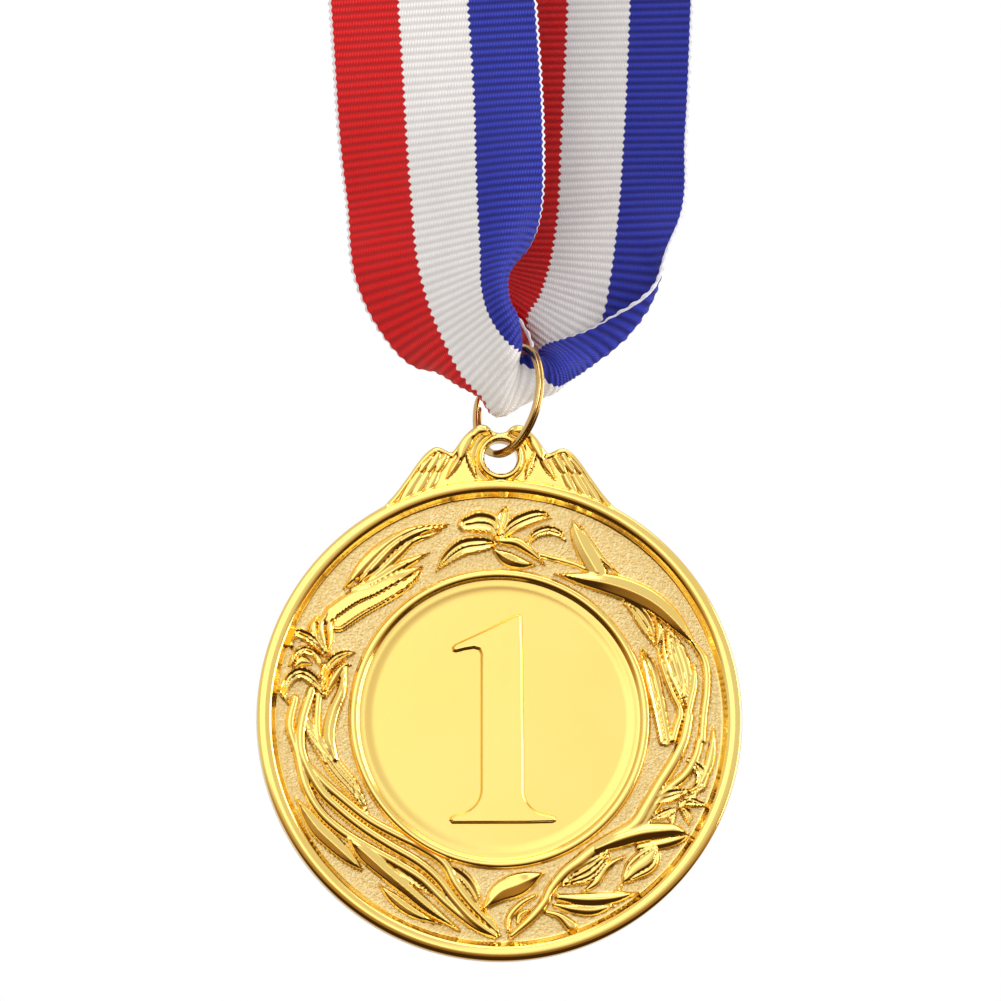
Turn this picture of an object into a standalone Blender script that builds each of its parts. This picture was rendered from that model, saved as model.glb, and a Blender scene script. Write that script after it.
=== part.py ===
"""Award medal on a split ring and a neck ribbon, as separate solids.

The frame: +Z up, +X to the right as the medal is seen, and the medal's front faces -Y.
The origin is the centre of the disc on the flat plane of the medal's back.
All lengths below are millimetres; each mesh is scaled to metres when it is made.
"""

import math

import bmesh
import bpy
import numpy as np
from mathutils import Matrix

MM = 0.001

# ---- medal casting: radii from the disc's axis, and heights as y below the back plane ----
DISC_R = 25.5
DISC_FRONT_Y = -2.6
EDGE_ROUND = 0.5
RIM_OUTER_R = 24.95
RIM_INNER_R = 24.25
RIM_FOOT_R = 23.45
FIELD_Y = -1.6
BEAD_Y = -2.15
BEAD_MID_R = 15.4
BEAD_HALF_TOP = 0.2
BEAD_HALF_FOOT = 0.5
CENTRE_Y = -1.75
BACK_GROOVE_OUTER_R = 24.0
BACK_GROOVE_INNER_R = 14.0
BACK_GROOVE_Y = -0.3
BACK_GROOVE_SLOPE = 0.2
DISC_STEPS = 72

# ---- relief ----
RELIEF_FOOT_Y = -1.3
NUMERAL_FRONT_Y = -2.2

# ---- winged bail and its eyelet ----
BAIL_FRONT_Y = -2.3
BAIL_BACK_Y = -0.3
BAIL_FOOT_R = 24.6
BAIL_FOOT_STEPS = 8
EYELET_X = 0.1
EYELET_Z = 27.66
EYELET_R = 1.75
EYELET_MOUTH_R = 2.0
EYELET_MOUTH_Y = -2.25
COLLAR_R = 2.5
COLLAR_FRONT_Y = -2.6
COLLAR_BACK_Y = -0.15
EYELET_STEPS = 32

# ---- split ring: its plane holds RING_E (towards the front right) and RING_F (nearly up) ----
RING_OUTER_R = 6.2
WIRE_RADIAL = 0.72
WIRE_AXIAL = 0.40
TURN_PITCH = 0.44
RING_MEAN_R = RING_OUTER_R - WIRE_RADIAL / 2
RING_TURN = math.radians(60)
RING_LEAN = math.radians(11)
WIRE_AT_EYELET = np.array((0.15, -1.3, 28.2))
JOGGLE_CENTRE = math.radians(165)
JOGGLE_HALF = math.radians(15)
COIL_STEP = math.radians(10)

# ---- ribbon ----
RIBBON_W = 22.0
RIBBON_T = 0.5
RIBBON_TOP_Z = 411.0
HANGER_FLAT_HALF = 4.0
HANGER_BEND = 3.5
LEG_TOP_Z = 398.0
LEG_TOP_Y = HANGER_FLAT_HALF + HANGER_BEND + 0.5
LEG_FOOT_Z = 76.0
# Each leg: foot x, slope at the foot, slope at the top, foot y.
FRONT_LEG = (-7.0, -0.10, 0.08, -3.6)
BACK_LEG = (10.9, 0.06, -0.08, 4.0)
FRONT_LEG_HEIGHTS = (350, 300, 250, 200, 150, 110, 85)
SEAM_LOW_Z = 340.0
SEAM_HIGH_Z = 352.0
SEAM_GAP = 0.1
SEAM_STEP_LENGTH = 15.0
SEAM_STEP_FOOT_Z = SEAM_LOW_Z - SEAM_STEP_LENGTH
# The back leg turns away from facing straight back: its heights, and how far there.
BACK_LEG_YAW = ((80, 0.55), (110, 0.42), (150, 0.25), (200, 0.1), (250, 0), (300, 0), (SEAM_STEP_FOOT_Z, 0))
ACROSS_PARTS = 12
CURL_STEPS = 110
GATHER_STEP = 1.1
GATHER_TOP_Z = 60.0

# ---- seam thread ----
THREAD_R = 0.15
THREAD_CLEAR = 0.04
STITCH_LENGTH = 2.4
STITCH_ARCH = 0.12
SEAM_ROW_HALF = 9.4
SEAM_ROW_GAP = 5.0
THREAD_SIDES = 6


# ======== small helpers ========


def clear_scene():
    for obj in list(bpy.data.objects):
        bpy.data.objects.remove(obj, do_unlink=True)


def material(name, colour, roughness, metallic):
    mat = bpy.data.materials.new(name)
    mat.use_nodes = True
    shader = mat.node_tree.nodes["Principled BSDF"]
    shader.inputs["Base Color"].default_value = (*colour, 1.0)
    shader.inputs["Roughness"].default_value = roughness
    shader.inputs["Metallic"].default_value = metallic
    return mat


def add_object(name, mesh, mat=None, smooth_angle=None):
    obj = bpy.data.objects.new(name, mesh)
    bpy.context.scene.collection.objects.link(obj)
    if mat:
        mesh.materials.append(mat)
    if smooth_angle:
        mesh.shade_smooth()
        mesh.set_sharp_from_angle(angle=smooth_angle)
    return obj


def mesh_of(name, points, faces):
    """A mesh from points in millimetres, with its faces turned outwards."""
    bm = bmesh.new()
    verts = [bm.verts.new(tuple(float(c) * MM for c in p)) for p in points]
    for face in faces:
        bm.faces.new([verts[i] for i in face])
    bmesh.ops.recalc_face_normals(bm, faces=bm.faces)
    mesh = bpy.data.meshes.new(name)
    bm.to_mesh(mesh)
    bm.free()
    return mesh


def lathe(name, profile, steps, centre=(0.0, 0.0)):
    """Turns a profile of (radius, y), both ends on the axis, about the line along Y through centre (x, z)."""
    points = []
    rings = []
    for radius, y in profile:
        if radius == 0:
            rings.append([len(points)] * steps)
            points.append((centre[0], y, centre[1]))
            continue
        rings.append(list(range(len(points), len(points) + steps)))
        for k in range(steps):
            angle = 2 * math.pi * k / steps
            points.append((centre[0] + radius * math.sin(angle), y, centre[1] + radius * math.cos(angle)))
    faces = []
    for inner, outer in zip(rings, rings[1:]):
        for k in range(steps):
            n = (k + 1) % steps
            corners = (inner[k], inner[n], outer[n], outer[k])
            faces.append(tuple(dict.fromkeys(corners)))
    return mesh_of(name, points, faces)


def slab(name, outline, front_y, back_y):
    """A flat plate whose outline is a list of (x, z)."""
    n = len(outline)
    points = [(x, front_y, z) for x, z in outline] + [(x, back_y, z) for x, z in outline]
    faces = [tuple(range(n)), tuple(range(n, 2 * n))]
    faces += [(i, (i + 1) % n, n + (i + 1) % n, n + i) for i in range(n)]
    return mesh_of(name, points, faces)


def tube(name, rings, closed=False):
    """Skins a list of rings with equal point counts, and caps the two ends unless the tube is closed."""
    sides = len(rings[0])
    points = [p for ring in rings for p in ring]
    spans = len(rings) if closed else len(rings) - 1
    faces = []
    for i in range(spans):
        j = (i + 1) % len(rings)
        for k in range(sides):
            n = (k + 1) % sides
            faces.append((i * sides + k, i * sides + n, j * sides + n, j * sides + k))
    if not closed:
        faces.append(tuple(range(sides)))
        faces.append(tuple(range(len(points) - sides, len(points))))
    return mesh_of(name, points, faces)


def cut_or_join(target, other, operation):
    """Applies a Boolean to target with the other object, which stays as a hidden guide."""
    other.hide_render = True
    other.display_type = "WIRE"
    modifier = target.modifiers.new(operation.title() + "_" + other.name, "BOOLEAN")
    modifier.operation = operation
    modifier.solver = "EXACT"
    modifier.use_self = operation == "UNION"
    modifier.object = other


def place_origin(obj, point):
    """Moves the object's origin to a point in millimetres; the shape stays where it is."""
    obj.data.transform(Matrix.Translation([-float(c) * MM for c in point]))
    obj.location = [float(c) * MM for c in point]


def unit(vector):
    vector = np.asarray(vector, float)
    return vector / np.linalg.norm(vector)


# ======== medal casting ========

# Each blade of the relief is a raised leaf, petal or stem: its half width, its crest height y, and the (x, z)
# points of its spine from base to tip.
LEFT_SPRAY = (
    (1.3, -2.35, ((-16.9, 13.2), (-14.4, 17.3), (-12.0, 19.1), (-5.3, 20.4))),
    (1.5, -2.4, ((-16.7, 11.6), (-12.6, 16.0), (-7.4, 17.3))),
    (0.8, -2.3, ((-22.0, 0.0), (-20.6, -6.7), (-16.8, -11.8), (-11.1, -14.2))),
    (1.0, -2.35, ((-19.6, 3.5), (-18.4, -4.5), (-13.9, -11.0), (-7.7, -16.8), (-4.4, -21.5), (-0.4, -22.9))),
    (1.1, -2.3, ((-21.3, -8.5), (-17.8, -12.4), (-14.6, -15.5), (-4.5, -22.3))),
    (0.9, -2.3, ((-18.6, -3.9), (-15.6, -6.6), (-13.8, -10.2))),
    (1.0, -2.2, ((-12.7, -17.5), (-9.6, -19.9), (-6.4, -21.7))),
    (0.9, -2.3, ((-1.9, -19.8), (-3.8, -17.4), (-5.5, -15.6))),
)
LEFT_LILY = (
    (-18.5, 6.8),
    ((-22.0, 7.7), (-22.2, 5.2), (-22.0, 2.0), (-15.2, 6.9), (-19.9, 10.4), (-17.2, 9.9)),
)
TOP_LILY = ((-0.2, 18.4), ((-2.6, 21.3), (0.7, 22.2), (5.2, 21.6), (6.9, 19.1), (4.7, 16.3), (-6.2, 16.2)))
RIGHT_SPRAY = (
    (0.9, -2.35, ((11.1, 15.7), (8.7, 18.4), (7.8, 21.1))),
    (1.1, -2.35, ((5.5, 15.4), (10.3, 15.2), (14.4, 13.9), (18.6, 11.4), (20.3, 7.8))),
    (0.9, -2.3, ((12.9, 12.5), (15.2, 10.6), (16.5, 8.0))),
    (0.9, -2.3, ((14.8, 7.5), (16.2, 4.8), (16.6, 1.8))),
    (1.0, -2.35, ((16.9, 9.5), (19.2, 5.8), (19.7, 1.6))),
    (0.6, -2.2, ((21.1, 7.2), (21.9, 3.4), (21.3, -1.0))),
    (1.0, -2.4, ((20.3, 0.0), (18.6, -3.4), (15.2, -6.7), (12.9, -11.4), (6.9, -16.4), (1.2, -22.9))),
    (1.0, -2.3, ((21.0, -7.3), (22.3, -4.0), (22.2, -0.8))),
    (1.4, -2.4, ((10.1, -13.8), (15.0, -12.0), (19.7, -11.9))),
    (1.2, -2.3, ((12.3, -15.8), (15.0, -15.6), (17.4, -15.0))),
    (1.2, -2.35, ((6.2, -18.4), (10.4, -17.4), (14.4, -18.3))),
    (0.9, -2.2, ((5.7, -19.5), (8.9, -20.6), (12.0, -19.6))),
    (0.9, -2.25, ((0.2, -17.3), (2.5, -15.9), (4.7, -16.1))),
)
PETAL_HALF_WIDTH = 0.95
PETAL_CREST_Y = -2.3

# The numeral's outline, from its top right corner round to the left.
NUMERAL_OUTLINE = (
    (2.3, 11.05),
    (-4.9, 7.67),
    (-4.8, 7.05),
    (-2.4, 7.36),
    (-2.0, 6.8),
    (-2.0, -8.07),
    (-2.8, -9.71),
    (-5.1, -10.27),
    (-5.1, -11.04),
    (5.85, -10.94),
    (5.85, -10.17),
    (3.55, -9.71),
    (2.56, -8.27),
)

# The right half of the bail's upper outline: the disc's shoulder, the wing, the bird's head and
# the collar's top.
BAIL_SHOULDER = (
    (12.17, 22.1),
    (10.1, 25.16),
    (7.84, 27.74),
    (6.7, 28.56),
    (5.26, 28.47),
    (3.64, 30.16),
    (2.48, 31.0),
    (1.2, 30.8),
    (0.3, 30.3),
)


def disc_mesh():
    return lathe(
        "disc",
        (
            (0, CENTRE_Y),
            (BEAD_MID_R - BEAD_HALF_FOOT, CENTRE_Y),
            (BEAD_MID_R - BEAD_HALF_TOP, BEAD_Y),
            (BEAD_MID_R + BEAD_HALF_TOP, BEAD_Y),
            (BEAD_MID_R + BEAD_HALF_FOOT, FIELD_Y),
            (RIM_FOOT_R, FIELD_Y),
            (RIM_INNER_R, DISC_FRONT_Y),
            (RIM_OUTER_R, DISC_FRONT_Y),
            (DISC_R, DISC_FRONT_Y + EDGE_ROUND),
            (DISC_R, -EDGE_ROUND),
            (DISC_R - EDGE_ROUND, 0),
            (BACK_GROOVE_OUTER_R, 0),
            (BACK_GROOVE_OUTER_R - BACK_GROOVE_SLOPE, BACK_GROOVE_Y),
            (BACK_GROOVE_INNER_R + BACK_GROOVE_SLOPE, BACK_GROOVE_Y),
            (BACK_GROOVE_INNER_R, 0),
            (0, 0),
        ),
        DISC_STEPS,
    )


def blade_rings(half_width, crest_y, spine):
    """Three-cornered rings along a spine: two feet sunk in the field, and a crest between them."""
    spine = np.array(spine, float)
    dense = [spine[0]]
    for a, b in zip(spine, spine[1:]):
        dense += [(a + b) / 2, b]
    dense = np.array(dense)
    along = np.gradient(dense, axis=0)
    rings = []
    for i, (centre, way) in enumerate(zip(dense, along)):
        side = unit((-way[1], way[0]))
        share = i / (len(dense) - 1)
        swell = 0.25 + 0.75 * math.sin(math.pi * min(1.0, 0.12 + 0.88 * share)) ** 0.8
        reach = half_width * swell
        crest = RELIEF_FOOT_Y + (crest_y - RELIEF_FOOT_Y) * (0.6 + 0.4 * swell)
        left = centre + side * reach
        right = centre - side * reach
        rings.append(
            (
                (left[0], RELIEF_FOOT_Y, left[1]),
                (centre[0], crest, centre[1]),
                (right[0], RELIEF_FOOT_Y, right[1]),
            )
        )
    return rings


def wreath_mesh():
    """Every leaf, petal and stem of the relief as one mesh of overlapping closed blades."""
    blades = list(LEFT_SPRAY + RIGHT_SPRAY)
    for centre, tips in (LEFT_LILY, TOP_LILY):
        for tip in tips:
            middle = (0.45 * centre[0] + 0.55 * tip[0], 0.45 * centre[1] + 0.55 * tip[1])
            blades.append((PETAL_HALF_WIDTH, PETAL_CREST_Y, (centre, middle, tip)))
    joined = bmesh.new()
    for blade in blades:
        piece = tube("blade", blade_rings(*blade))
        joined.from_mesh(piece)
        bpy.data.meshes.remove(piece)
    mesh = bpy.data.meshes.new("wreath")
    joined.to_mesh(mesh)
    joined.free()
    return mesh


def bail_outline():
    """The winged bail: its foot follows an arc inside the rim, so that it runs into the disc."""
    upper = list(BAIL_SHOULDER) + [(-x, z) for x, z in reversed(BAIL_SHOULDER)]
    reach = math.asin(BAIL_SHOULDER[0][0] / BAIL_FOOT_R)
    foot = []
    for k in range(BAIL_FOOT_STEPS + 1):
        angle = -reach + 2 * reach * k / BAIL_FOOT_STEPS
        foot.append((BAIL_FOOT_R * math.sin(angle), BAIL_FOOT_R * math.cos(angle)))
    return upper + foot


def make_medal(gold):
    medal = add_object("medal_body", disc_mesh(), gold)
    place_origin(medal, WIRE_AT_EYELET)
    bail = add_object("bail_plate", slab("bail_plate", bail_outline(), BAIL_FRONT_Y, BAIL_BACK_Y))
    centre = (EYELET_X, EYELET_Z)
    collar_profile = (
        (0, COLLAR_FRONT_Y),
        (COLLAR_R - 0.3, COLLAR_FRONT_Y),
        (COLLAR_R, COLLAR_FRONT_Y + 0.3),
        (COLLAR_R, COLLAR_BACK_Y),
        (0, COLLAR_BACK_Y),
    )
    collar = add_object("collar", lathe("collar", collar_profile, EYELET_STEPS, centre))
    hole_profile = (
        (0, DISC_FRONT_Y - 1),
        (EYELET_MOUTH_R, DISC_FRONT_Y - 1),
        (EYELET_MOUTH_R, COLLAR_FRONT_Y + 0.1),
        (EYELET_R, EYELET_MOUTH_Y),
        (EYELET_R, 1),
        (0, 1),
    )
    hole = add_object("eyelet_cutter", lathe("eyelet_cutter", hole_profile, EYELET_STEPS, centre))
    numeral = add_object("numeral", slab("numeral", NUMERAL_OUTLINE, NUMERAL_FRONT_Y, RELIEF_FOOT_Y))
    wreath = add_object("wreath", wreath_mesh())
    for piece in (bail, collar, numeral, wreath):
        cut_or_join(medal, piece, "UNION")
    cut_or_join(medal, hole, "DIFFERENCE")
    return medal


# ======== split ring ========

RING_E = np.array((math.cos(RING_TURN), -math.sin(RING_TURN), 0.0))


def ring_up():
    """The direction in the ring's plane from the eyelet to the ribbon: up, leaning to the right."""
    lean = np.array((math.sin(RING_LEAN), 0.0, math.cos(RING_LEAN)))
    across = np.cross(RING_E, lean)
    return unit(np.cross(across, RING_E))


RING_F = ring_up()
RING_N = np.cross(RING_E, RING_F)
RING_CENTRE = WIRE_AT_EYELET + RING_MEAN_R * RING_F
RIBBON_BEARING = RING_CENTRE + (RING_MEAN_R - WIRE_RADIAL / 2) * RING_F


def coil_rings():
    """The wire's four-cornered section along two turns, which cross over at the joggle."""
    start = JOGGLE_CENTRE + JOGGLE_HALF
    total = 4 * math.pi - 2 * JOGGLE_HALF
    count = round(total / COIL_STEP)
    rings = []
    for k in range(count + 1):
        angle = start + total * k / count
        past = (angle - start) - (2 * math.pi - 2 * JOGGLE_HALF)
        share = min(max(past / (2 * JOGGLE_HALF), 0.0), 1.0)
        side = TURN_PITCH * (share * share * (3 - 2 * share) - 0.5)
        out = math.cos(angle) * RING_E + math.sin(angle) * RING_F
        ring = []
        for radial, axial in ((1, 1), (-1, 1), (-1, -1), (1, -1)):
            radius = RING_MEAN_R + radial * WIRE_RADIAL / 2
            ring.append(RING_CENTRE + radius * out + (side + axial * WIRE_AXIAL / 2) * RING_N)
        rings.append(ring)
    return rings


def make_split_ring(mat):
    ring = add_object("split_ring", tube("split_ring", coil_rings()), mat, math.radians(40))
    place_origin(ring, RIBBON_BEARING)
    return ring


# ======== ribbon ========

# A station of the ribbon: the middle of its width, the direction across it towards the blue edge,
# the direction its outer face looks, and how each half curls back: the angle turned, and where
# the turn starts and its length (millimetres from the middle).
FLAT = (0, 3, 8)


def station(centre, across, out, blue=FLAT, red=FLAT):
    return np.array([*centre, *across, *out, *blue, *red], float)


def leg_middle(z, foot_x, foot_slope, top_slope, foot_y, top_y):
    """The middle of a leg above the gather: it leans out, bows and comes back to the middle on top."""
    rise = LEG_TOP_Z - LEG_FOOT_Z
    t = (z - LEG_FOOT_Z) / rise
    x = (2 * t**3 - 3 * t**2 + 1) * foot_x
    x += (t**3 - 2 * t**2 + t) * rise * foot_slope + (t**3 - t**2) * rise * top_slope
    return x, foot_y + (top_y - foot_y) * t


def front_leg(z):
    return leg_middle(z, *FRONT_LEG, -LEG_TOP_Y)


def back_leg(z):
    return leg_middle(z, *BACK_LEG, LEG_TOP_Y)


def leg_station(leg, z, out, lift=0.0, yaw=0.0):
    x, y = leg(z)
    slope = leg(z + 0.5)[0] - leg(z - 0.5)[0]
    return station((x, y + lift, z), unit((1.0, -yaw, -slope)), (0, out, 0))


def hanger_bend():
    """Over the hanger: a flat stretch between two quarter bends."""
    slant = math.sqrt(0.5)
    side = HANGER_FLAT_HALF + slant * HANGER_BEND
    low = RIBBON_TOP_Z - (1 - slant) * HANGER_BEND
    return [
        station((0, side, low), (1, 0, 0), (0, slant, slant)),
        station((0, HANGER_FLAT_HALF, RIBBON_TOP_Z), (1, 0, 0), (0, 0, 1)),
        station((0, -HANGER_FLAT_HALF, RIBBON_TOP_Z), (1, 0, 0), (0, 0, 1)),
        station((0, -side, low), (1, 0, 0), (0, -slant, slant)),
    ]


def gather_through_ring():
    """The front leg curls into a tube through the ring, and unrolls behind it over a slanting fold."""
    in_ring = RIBBON_BEARING + 0.5 * RING_E - 5.03 * RING_F
    in_ring_across = 0.46 * RING_E + 0.89 * RING_F
    in_ring_out = 0.89 * RING_E - 0.46 * RING_F
    past_ring = RIBBON_BEARING + 0.55 * RING_E - 4.7 * RING_F - 2.6 * RING_N
    past_ring_across = 0.95 * RING_E + 0.1 * RING_F
    past_ring_out = 0.1 * RING_E - 0.95 * RING_F - 0.3 * RING_N
    return [
        station((-6.5, -3.3, 66.0), (0.99, -0.1, 0.08), (0, -1, 0), (15, 4, 7)),
        station((-6.0, -3.2, 57.0), (0.93, -0.35, 0.10), (0, -1, 0), (35, 3, 8)),
        station((-5.3, -3.3, 48.5), (0.84, -0.5, 0.16), (0, -1, 0), (105, 3.2, 7.5), (-8, 0.5, 6)),
        station((-4.6, -3.6, 44.3), (0.68, -0.68, 0.25), (0, -1, -0.05), (165, 3.6, 5.5), (0, 3, 8)),
        station((-3.4, -3.9, 40.9), (0.56, -0.74, 0.35), (0, -1, -0.1), (185, 4.0, 4.6), (35, 3.5, 7.5)),
        station((-1.8, -3.8, 38.1), (0.53, -0.7, 0.47), (0, -0.95, -0.3), (195, 3.2, 6.0), (120, 2.6, 7.6)),
        station((0.1, -2.9, 36.0), (0.47, -0.66, 0.55), (0, -0.75, -0.6), (200, 0.8, 8.2), (170, 1.6, 7.2)),
        station(in_ring, in_ring_across, in_ring_out, (188, 0.2, 9.2), (194, 0.35, 6.8)),
        station(past_ring, past_ring_across, past_ring_out, (195, 0.5, 9), (162, 0.6, 7.4)),
        station((5.8, 1.5, 37.82), (0.5, -0.6, -0.6), (0.2, 0.75, -0.55), (205, 1, 8.2), (70, 2, 8)),
        station((6.1, 2.4, 41.2), (0.75, -0.2, -0.6), (0.1, 1, -0.1), (200, 3.2, 6), (20, 3, 8)),
        station((7.7, 2.6, 44.0), (0.84, -0.25, -0.40), (0, 1, 0), (185, 5.4, 4.5)),
        station((8.8, 2.6, 48.0), (0.84, -0.45, -0.18), (0, 1, 0), (80, 7.5, 3.5)),
        station((9.6, 2.9, 53.0), (0.84, -0.52, -0.05), (0, 1, 0)),
        station((10.3, 3.4, 63.0), (0.87, -0.48, -0.06), (0, 1, 0)),
    ]


def ribbon_stations():
    """From the inner end in the seam, up and over the hanger, down through the ring, back to the seam."""
    lift = RIBBON_T + SEAM_GAP
    rows = [leg_station(back_leg, z, 1) for z in (SEAM_LOW_Z, SEAM_HIGH_Z, 375, LEG_TOP_Z)]
    rows += hanger_bend()
    rows += [leg_station(front_leg, z, -1) for z in (LEG_TOP_Z, *FRONT_LEG_HEIGHTS)]
    rows += gather_through_ring()
    for z, yaw in BACK_LEG_YAW:
        rows.append(leg_station(back_leg, z, 1, yaw=yaw))
    rows += [leg_station(back_leg, z, 1, lift) for z in (SEAM_LOW_Z - 1, SEAM_LOW_Z, SEAM_HIGH_Z)]
    return np.array(rows)


def path_lengths(rows):
    steps = np.linalg.norm(np.diff(rows[:, :3], axis=0), axis=1)
    return np.concatenate([[0.0], np.cumsum(steps)])


def interpolate(rows, lengths, at):
    """Smooth values between the stations, as cubic pieces with shared slopes."""
    gaps = np.diff(lengths)[:, None]
    slopes = np.diff(rows, axis=0) / gaps
    tangents = np.empty_like(rows)
    tangents[0] = slopes[0]
    tangents[-1] = slopes[-1]
    tangents[1:-1] = (slopes[:-1] * gaps[1:] + slopes[1:] * gaps[:-1]) / (gaps[:-1] + gaps[1:])
    i = np.clip(np.searchsorted(lengths, at, side="right") - 1, 0, len(lengths) - 2)
    gap = gaps[i]
    t = (np.asarray(at) - lengths[i])[:, None] / gap
    value = (2 * t**3 - 3 * t**2 + 1) * rows[i] + (3 * t**2 - 2 * t**3) * rows[i + 1]
    return value + (t**3 - 2 * t**2 + t) * gap * tangents[i] + (t**3 - t**2) * gap * tangents[i + 1]


def section_points(row, widths):
    """The middle surface at one station, at distances from the middle of the width (blue positive)."""
    across = unit(row[3:6])
    out = unit(row[6:9] - across * (row[6:9] @ across))
    fine = np.linspace(0.0, RIBBON_W / 2, CURL_STEPS + 1)
    step = fine[1]
    points = np.empty((len(widths), 3))
    for sign, (turn, start, span) in ((1, row[9:12]), (-1, row[12:15])):
        share = np.clip((fine - start) / max(span, 0.1), 0.0, 1.0)
        angle = math.radians(turn) * share * share * (3 - 2 * share)
        middle = (angle[1:] + angle[:-1]) / 2
        forward = np.concatenate([[0.0], np.cumsum(np.cos(middle)) * step])
        back = np.concatenate([[0.0], np.cumsum(np.sin(middle)) * step])
        chosen = widths * sign >= 0
        reach = np.abs(widths[chosen])
        points[chosen] = (
            row[:3]
            + sign * np.interp(reach, fine, forward)[:, None] * across
            - np.interp(reach, fine, back)[:, None] * out
        )
    return points


def sample_lengths(rows, lengths):
    """Fine steps where the ribbon gathers and bends, and long ones on its straight legs."""
    at = []
    for i in range(len(lengths) - 1):
        gap = lengths[i + 1] - lengths[i]
        low = min(rows[i][2], rows[i + 1][2])
        high = max(rows[i][2], rows[i + 1][2])
        if high < GATHER_TOP_Z:
            count = max(2, round(gap / GATHER_STEP))
        elif low > LEG_TOP_Z - 1:
            count = 3 if abs(rows[i][2] - rows[i + 1][2]) > 0.01 else 1
        elif low < SEAM_HIGH_Z and high > SEAM_STEP_FOOT_Z - 5:
            count = 1
        else:
            count = 2
        at += list(np.linspace(lengths[i], lengths[i + 1], count, endpoint=False))
    return np.array(at + [lengths[-1]])


def ribbon_grid():
    rows = ribbon_stations()
    lengths = path_lengths(rows)
    at = sample_lengths(rows, lengths)
    widths = np.linspace(-RIBBON_W / 2, RIBBON_W / 2, ACROSS_PARTS + 1)
    return np.array([section_points(row, widths) for row in interpolate(rows, lengths, at)])


def face_normals(grid):
    """The direction that the outer face looks at each point of the grid."""
    along = np.gradient(grid, axis=0)
    across = np.gradient(grid, axis=1)
    normal = np.cross(along, across)
    return normal / np.linalg.norm(normal, axis=2)[..., None]


def make_ribbon(mat):
    grid = ribbon_grid()
    normal = face_normals(grid)
    rings = []
    for points, looks in zip(grid, normal):
        outer = points + looks * RIBBON_T / 2
        inner = points - looks * RIBBON_T / 2
        rings.append(list(outer) + list(inner[::-1]))
    return add_object("ribbon", tube("ribbon", rings), mat, math.radians(40))


# ======== seam threads ========


def seam_path():
    """Two rows of stitches across the seam, joined at one side, as (x, z, arch)."""
    points = []
    middle_z = (SEAM_LOW_Z + SEAM_HIGH_Z) / 2
    count = round(2 * SEAM_ROW_HALF / STITCH_LENGTH) * 4
    for row, sign in ((-1, 1), (1, -1)):
        for k in range(count + 1):
            share = k / count
            x = sign * (2 * share - 1) * SEAM_ROW_HALF
            arch = STITCH_ARCH * math.cos(2 * math.pi * share * count / 4)
            points.append((x, middle_z + row * SEAM_ROW_GAP / 2, arch))
    return points


def thread_rings(side):
    """A thread on the outer face (side 1) or the inner face (side -1) of the two layers."""
    foot_y = RIBBON_T / 2 + THREAD_R + THREAD_CLEAR + STITCH_ARCH
    lift = RIBBON_T + SEAM_GAP if side > 0 else 0.0
    centres = []
    for x, z, arch in seam_path():
        leg_x, leg_y = back_leg(z)
        centres.append((leg_x + x, leg_y + lift + side * (foot_y + arch), z))
    centres = np.array(centres)
    along = np.gradient(centres, axis=0)
    rings = []
    for centre, way in zip(centres, along):
        out = np.array((0.0, 1.0, 0.0))
        beside = unit(np.cross(way, out))
        ring = []
        for k in range(THREAD_SIDES):
            angle = 2 * math.pi * k / THREAD_SIDES
            ring.append(centre + THREAD_R * (math.cos(angle) * beside + math.sin(angle) * out))
        rings.append(ring)
    return rings


def make_threads(mat):
    for name, side in (("seam_needle_thread", 1), ("seam_bobbin_thread", -1)):
        add_object(name, tube(name, thread_rings(side)), mat, math.radians(60))


# ======== assembly ========


def build():
    clear_scene()
    gold = material("gold_plate", (0.86, 0.58, 0.16), 0.2, 1.0)
    ring_gold = material("ring_gold", (0.70, 0.48, 0.18), 0.25, 1.0)
    cloth = material("ribbon_cloth", (0.55, 0.06, 0.08), 0.6, 0.0)
    thread = material("white_thread", (0.85, 0.85, 0.83), 0.6, 0.0)
    make_medal(gold)
    make_split_ring(ring_gold)
    make_ribbon(cloth)
    make_threads(thread)


build()
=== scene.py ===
"""Looks of an award medal on a split ring and a neck ribbon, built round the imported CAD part.

The frame: +Z up, +X to the right as the medal is seen, and the medal's front faces -Y.
Lengths are millimetres where nothing else is said; meshes are scaled to metres when they are made.
"""

import math

import bpy
import numpy as np
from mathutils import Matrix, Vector


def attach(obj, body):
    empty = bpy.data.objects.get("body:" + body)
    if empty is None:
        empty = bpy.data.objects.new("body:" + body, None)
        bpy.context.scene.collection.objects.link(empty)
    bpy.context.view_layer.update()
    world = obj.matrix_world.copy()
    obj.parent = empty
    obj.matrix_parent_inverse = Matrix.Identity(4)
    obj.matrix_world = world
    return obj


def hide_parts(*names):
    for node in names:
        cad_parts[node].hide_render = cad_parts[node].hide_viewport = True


MM = 0.001

# ---- medal: radii from the disc's axis, and y below the back plane ----
DISC_R = 25.5
RIM_Y = -2.6
FIELD_Y = -1.6
CENTRE_Y = -1.75
SATIN_OUT_R = 14.7
FIELD_IN_R = 15.95
FIELD_OUT_R = 23.4
SHELL_R = 25.15
BACK_FLAT_R = 14.0
BACK_BAND_R = 24.0
BACK_BAND_Y = -0.3
EDGE_IN = 0.35
FRONT_EDGE_DROP = 0.38
BACK_EDGE_DROP = 0.35
FIELD_STEP = 0.125
GRAIN_PITCH = 0.17
GRAIN_HEIGHT = 0.016
GRAIN_FADE = 0.3
TURN_STEP_DEG = 0.36
BAIL_STEP_DEG = 0.25
BAIL_HALF_DEG = 30.0
BAIL_ROWS = 46

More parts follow.
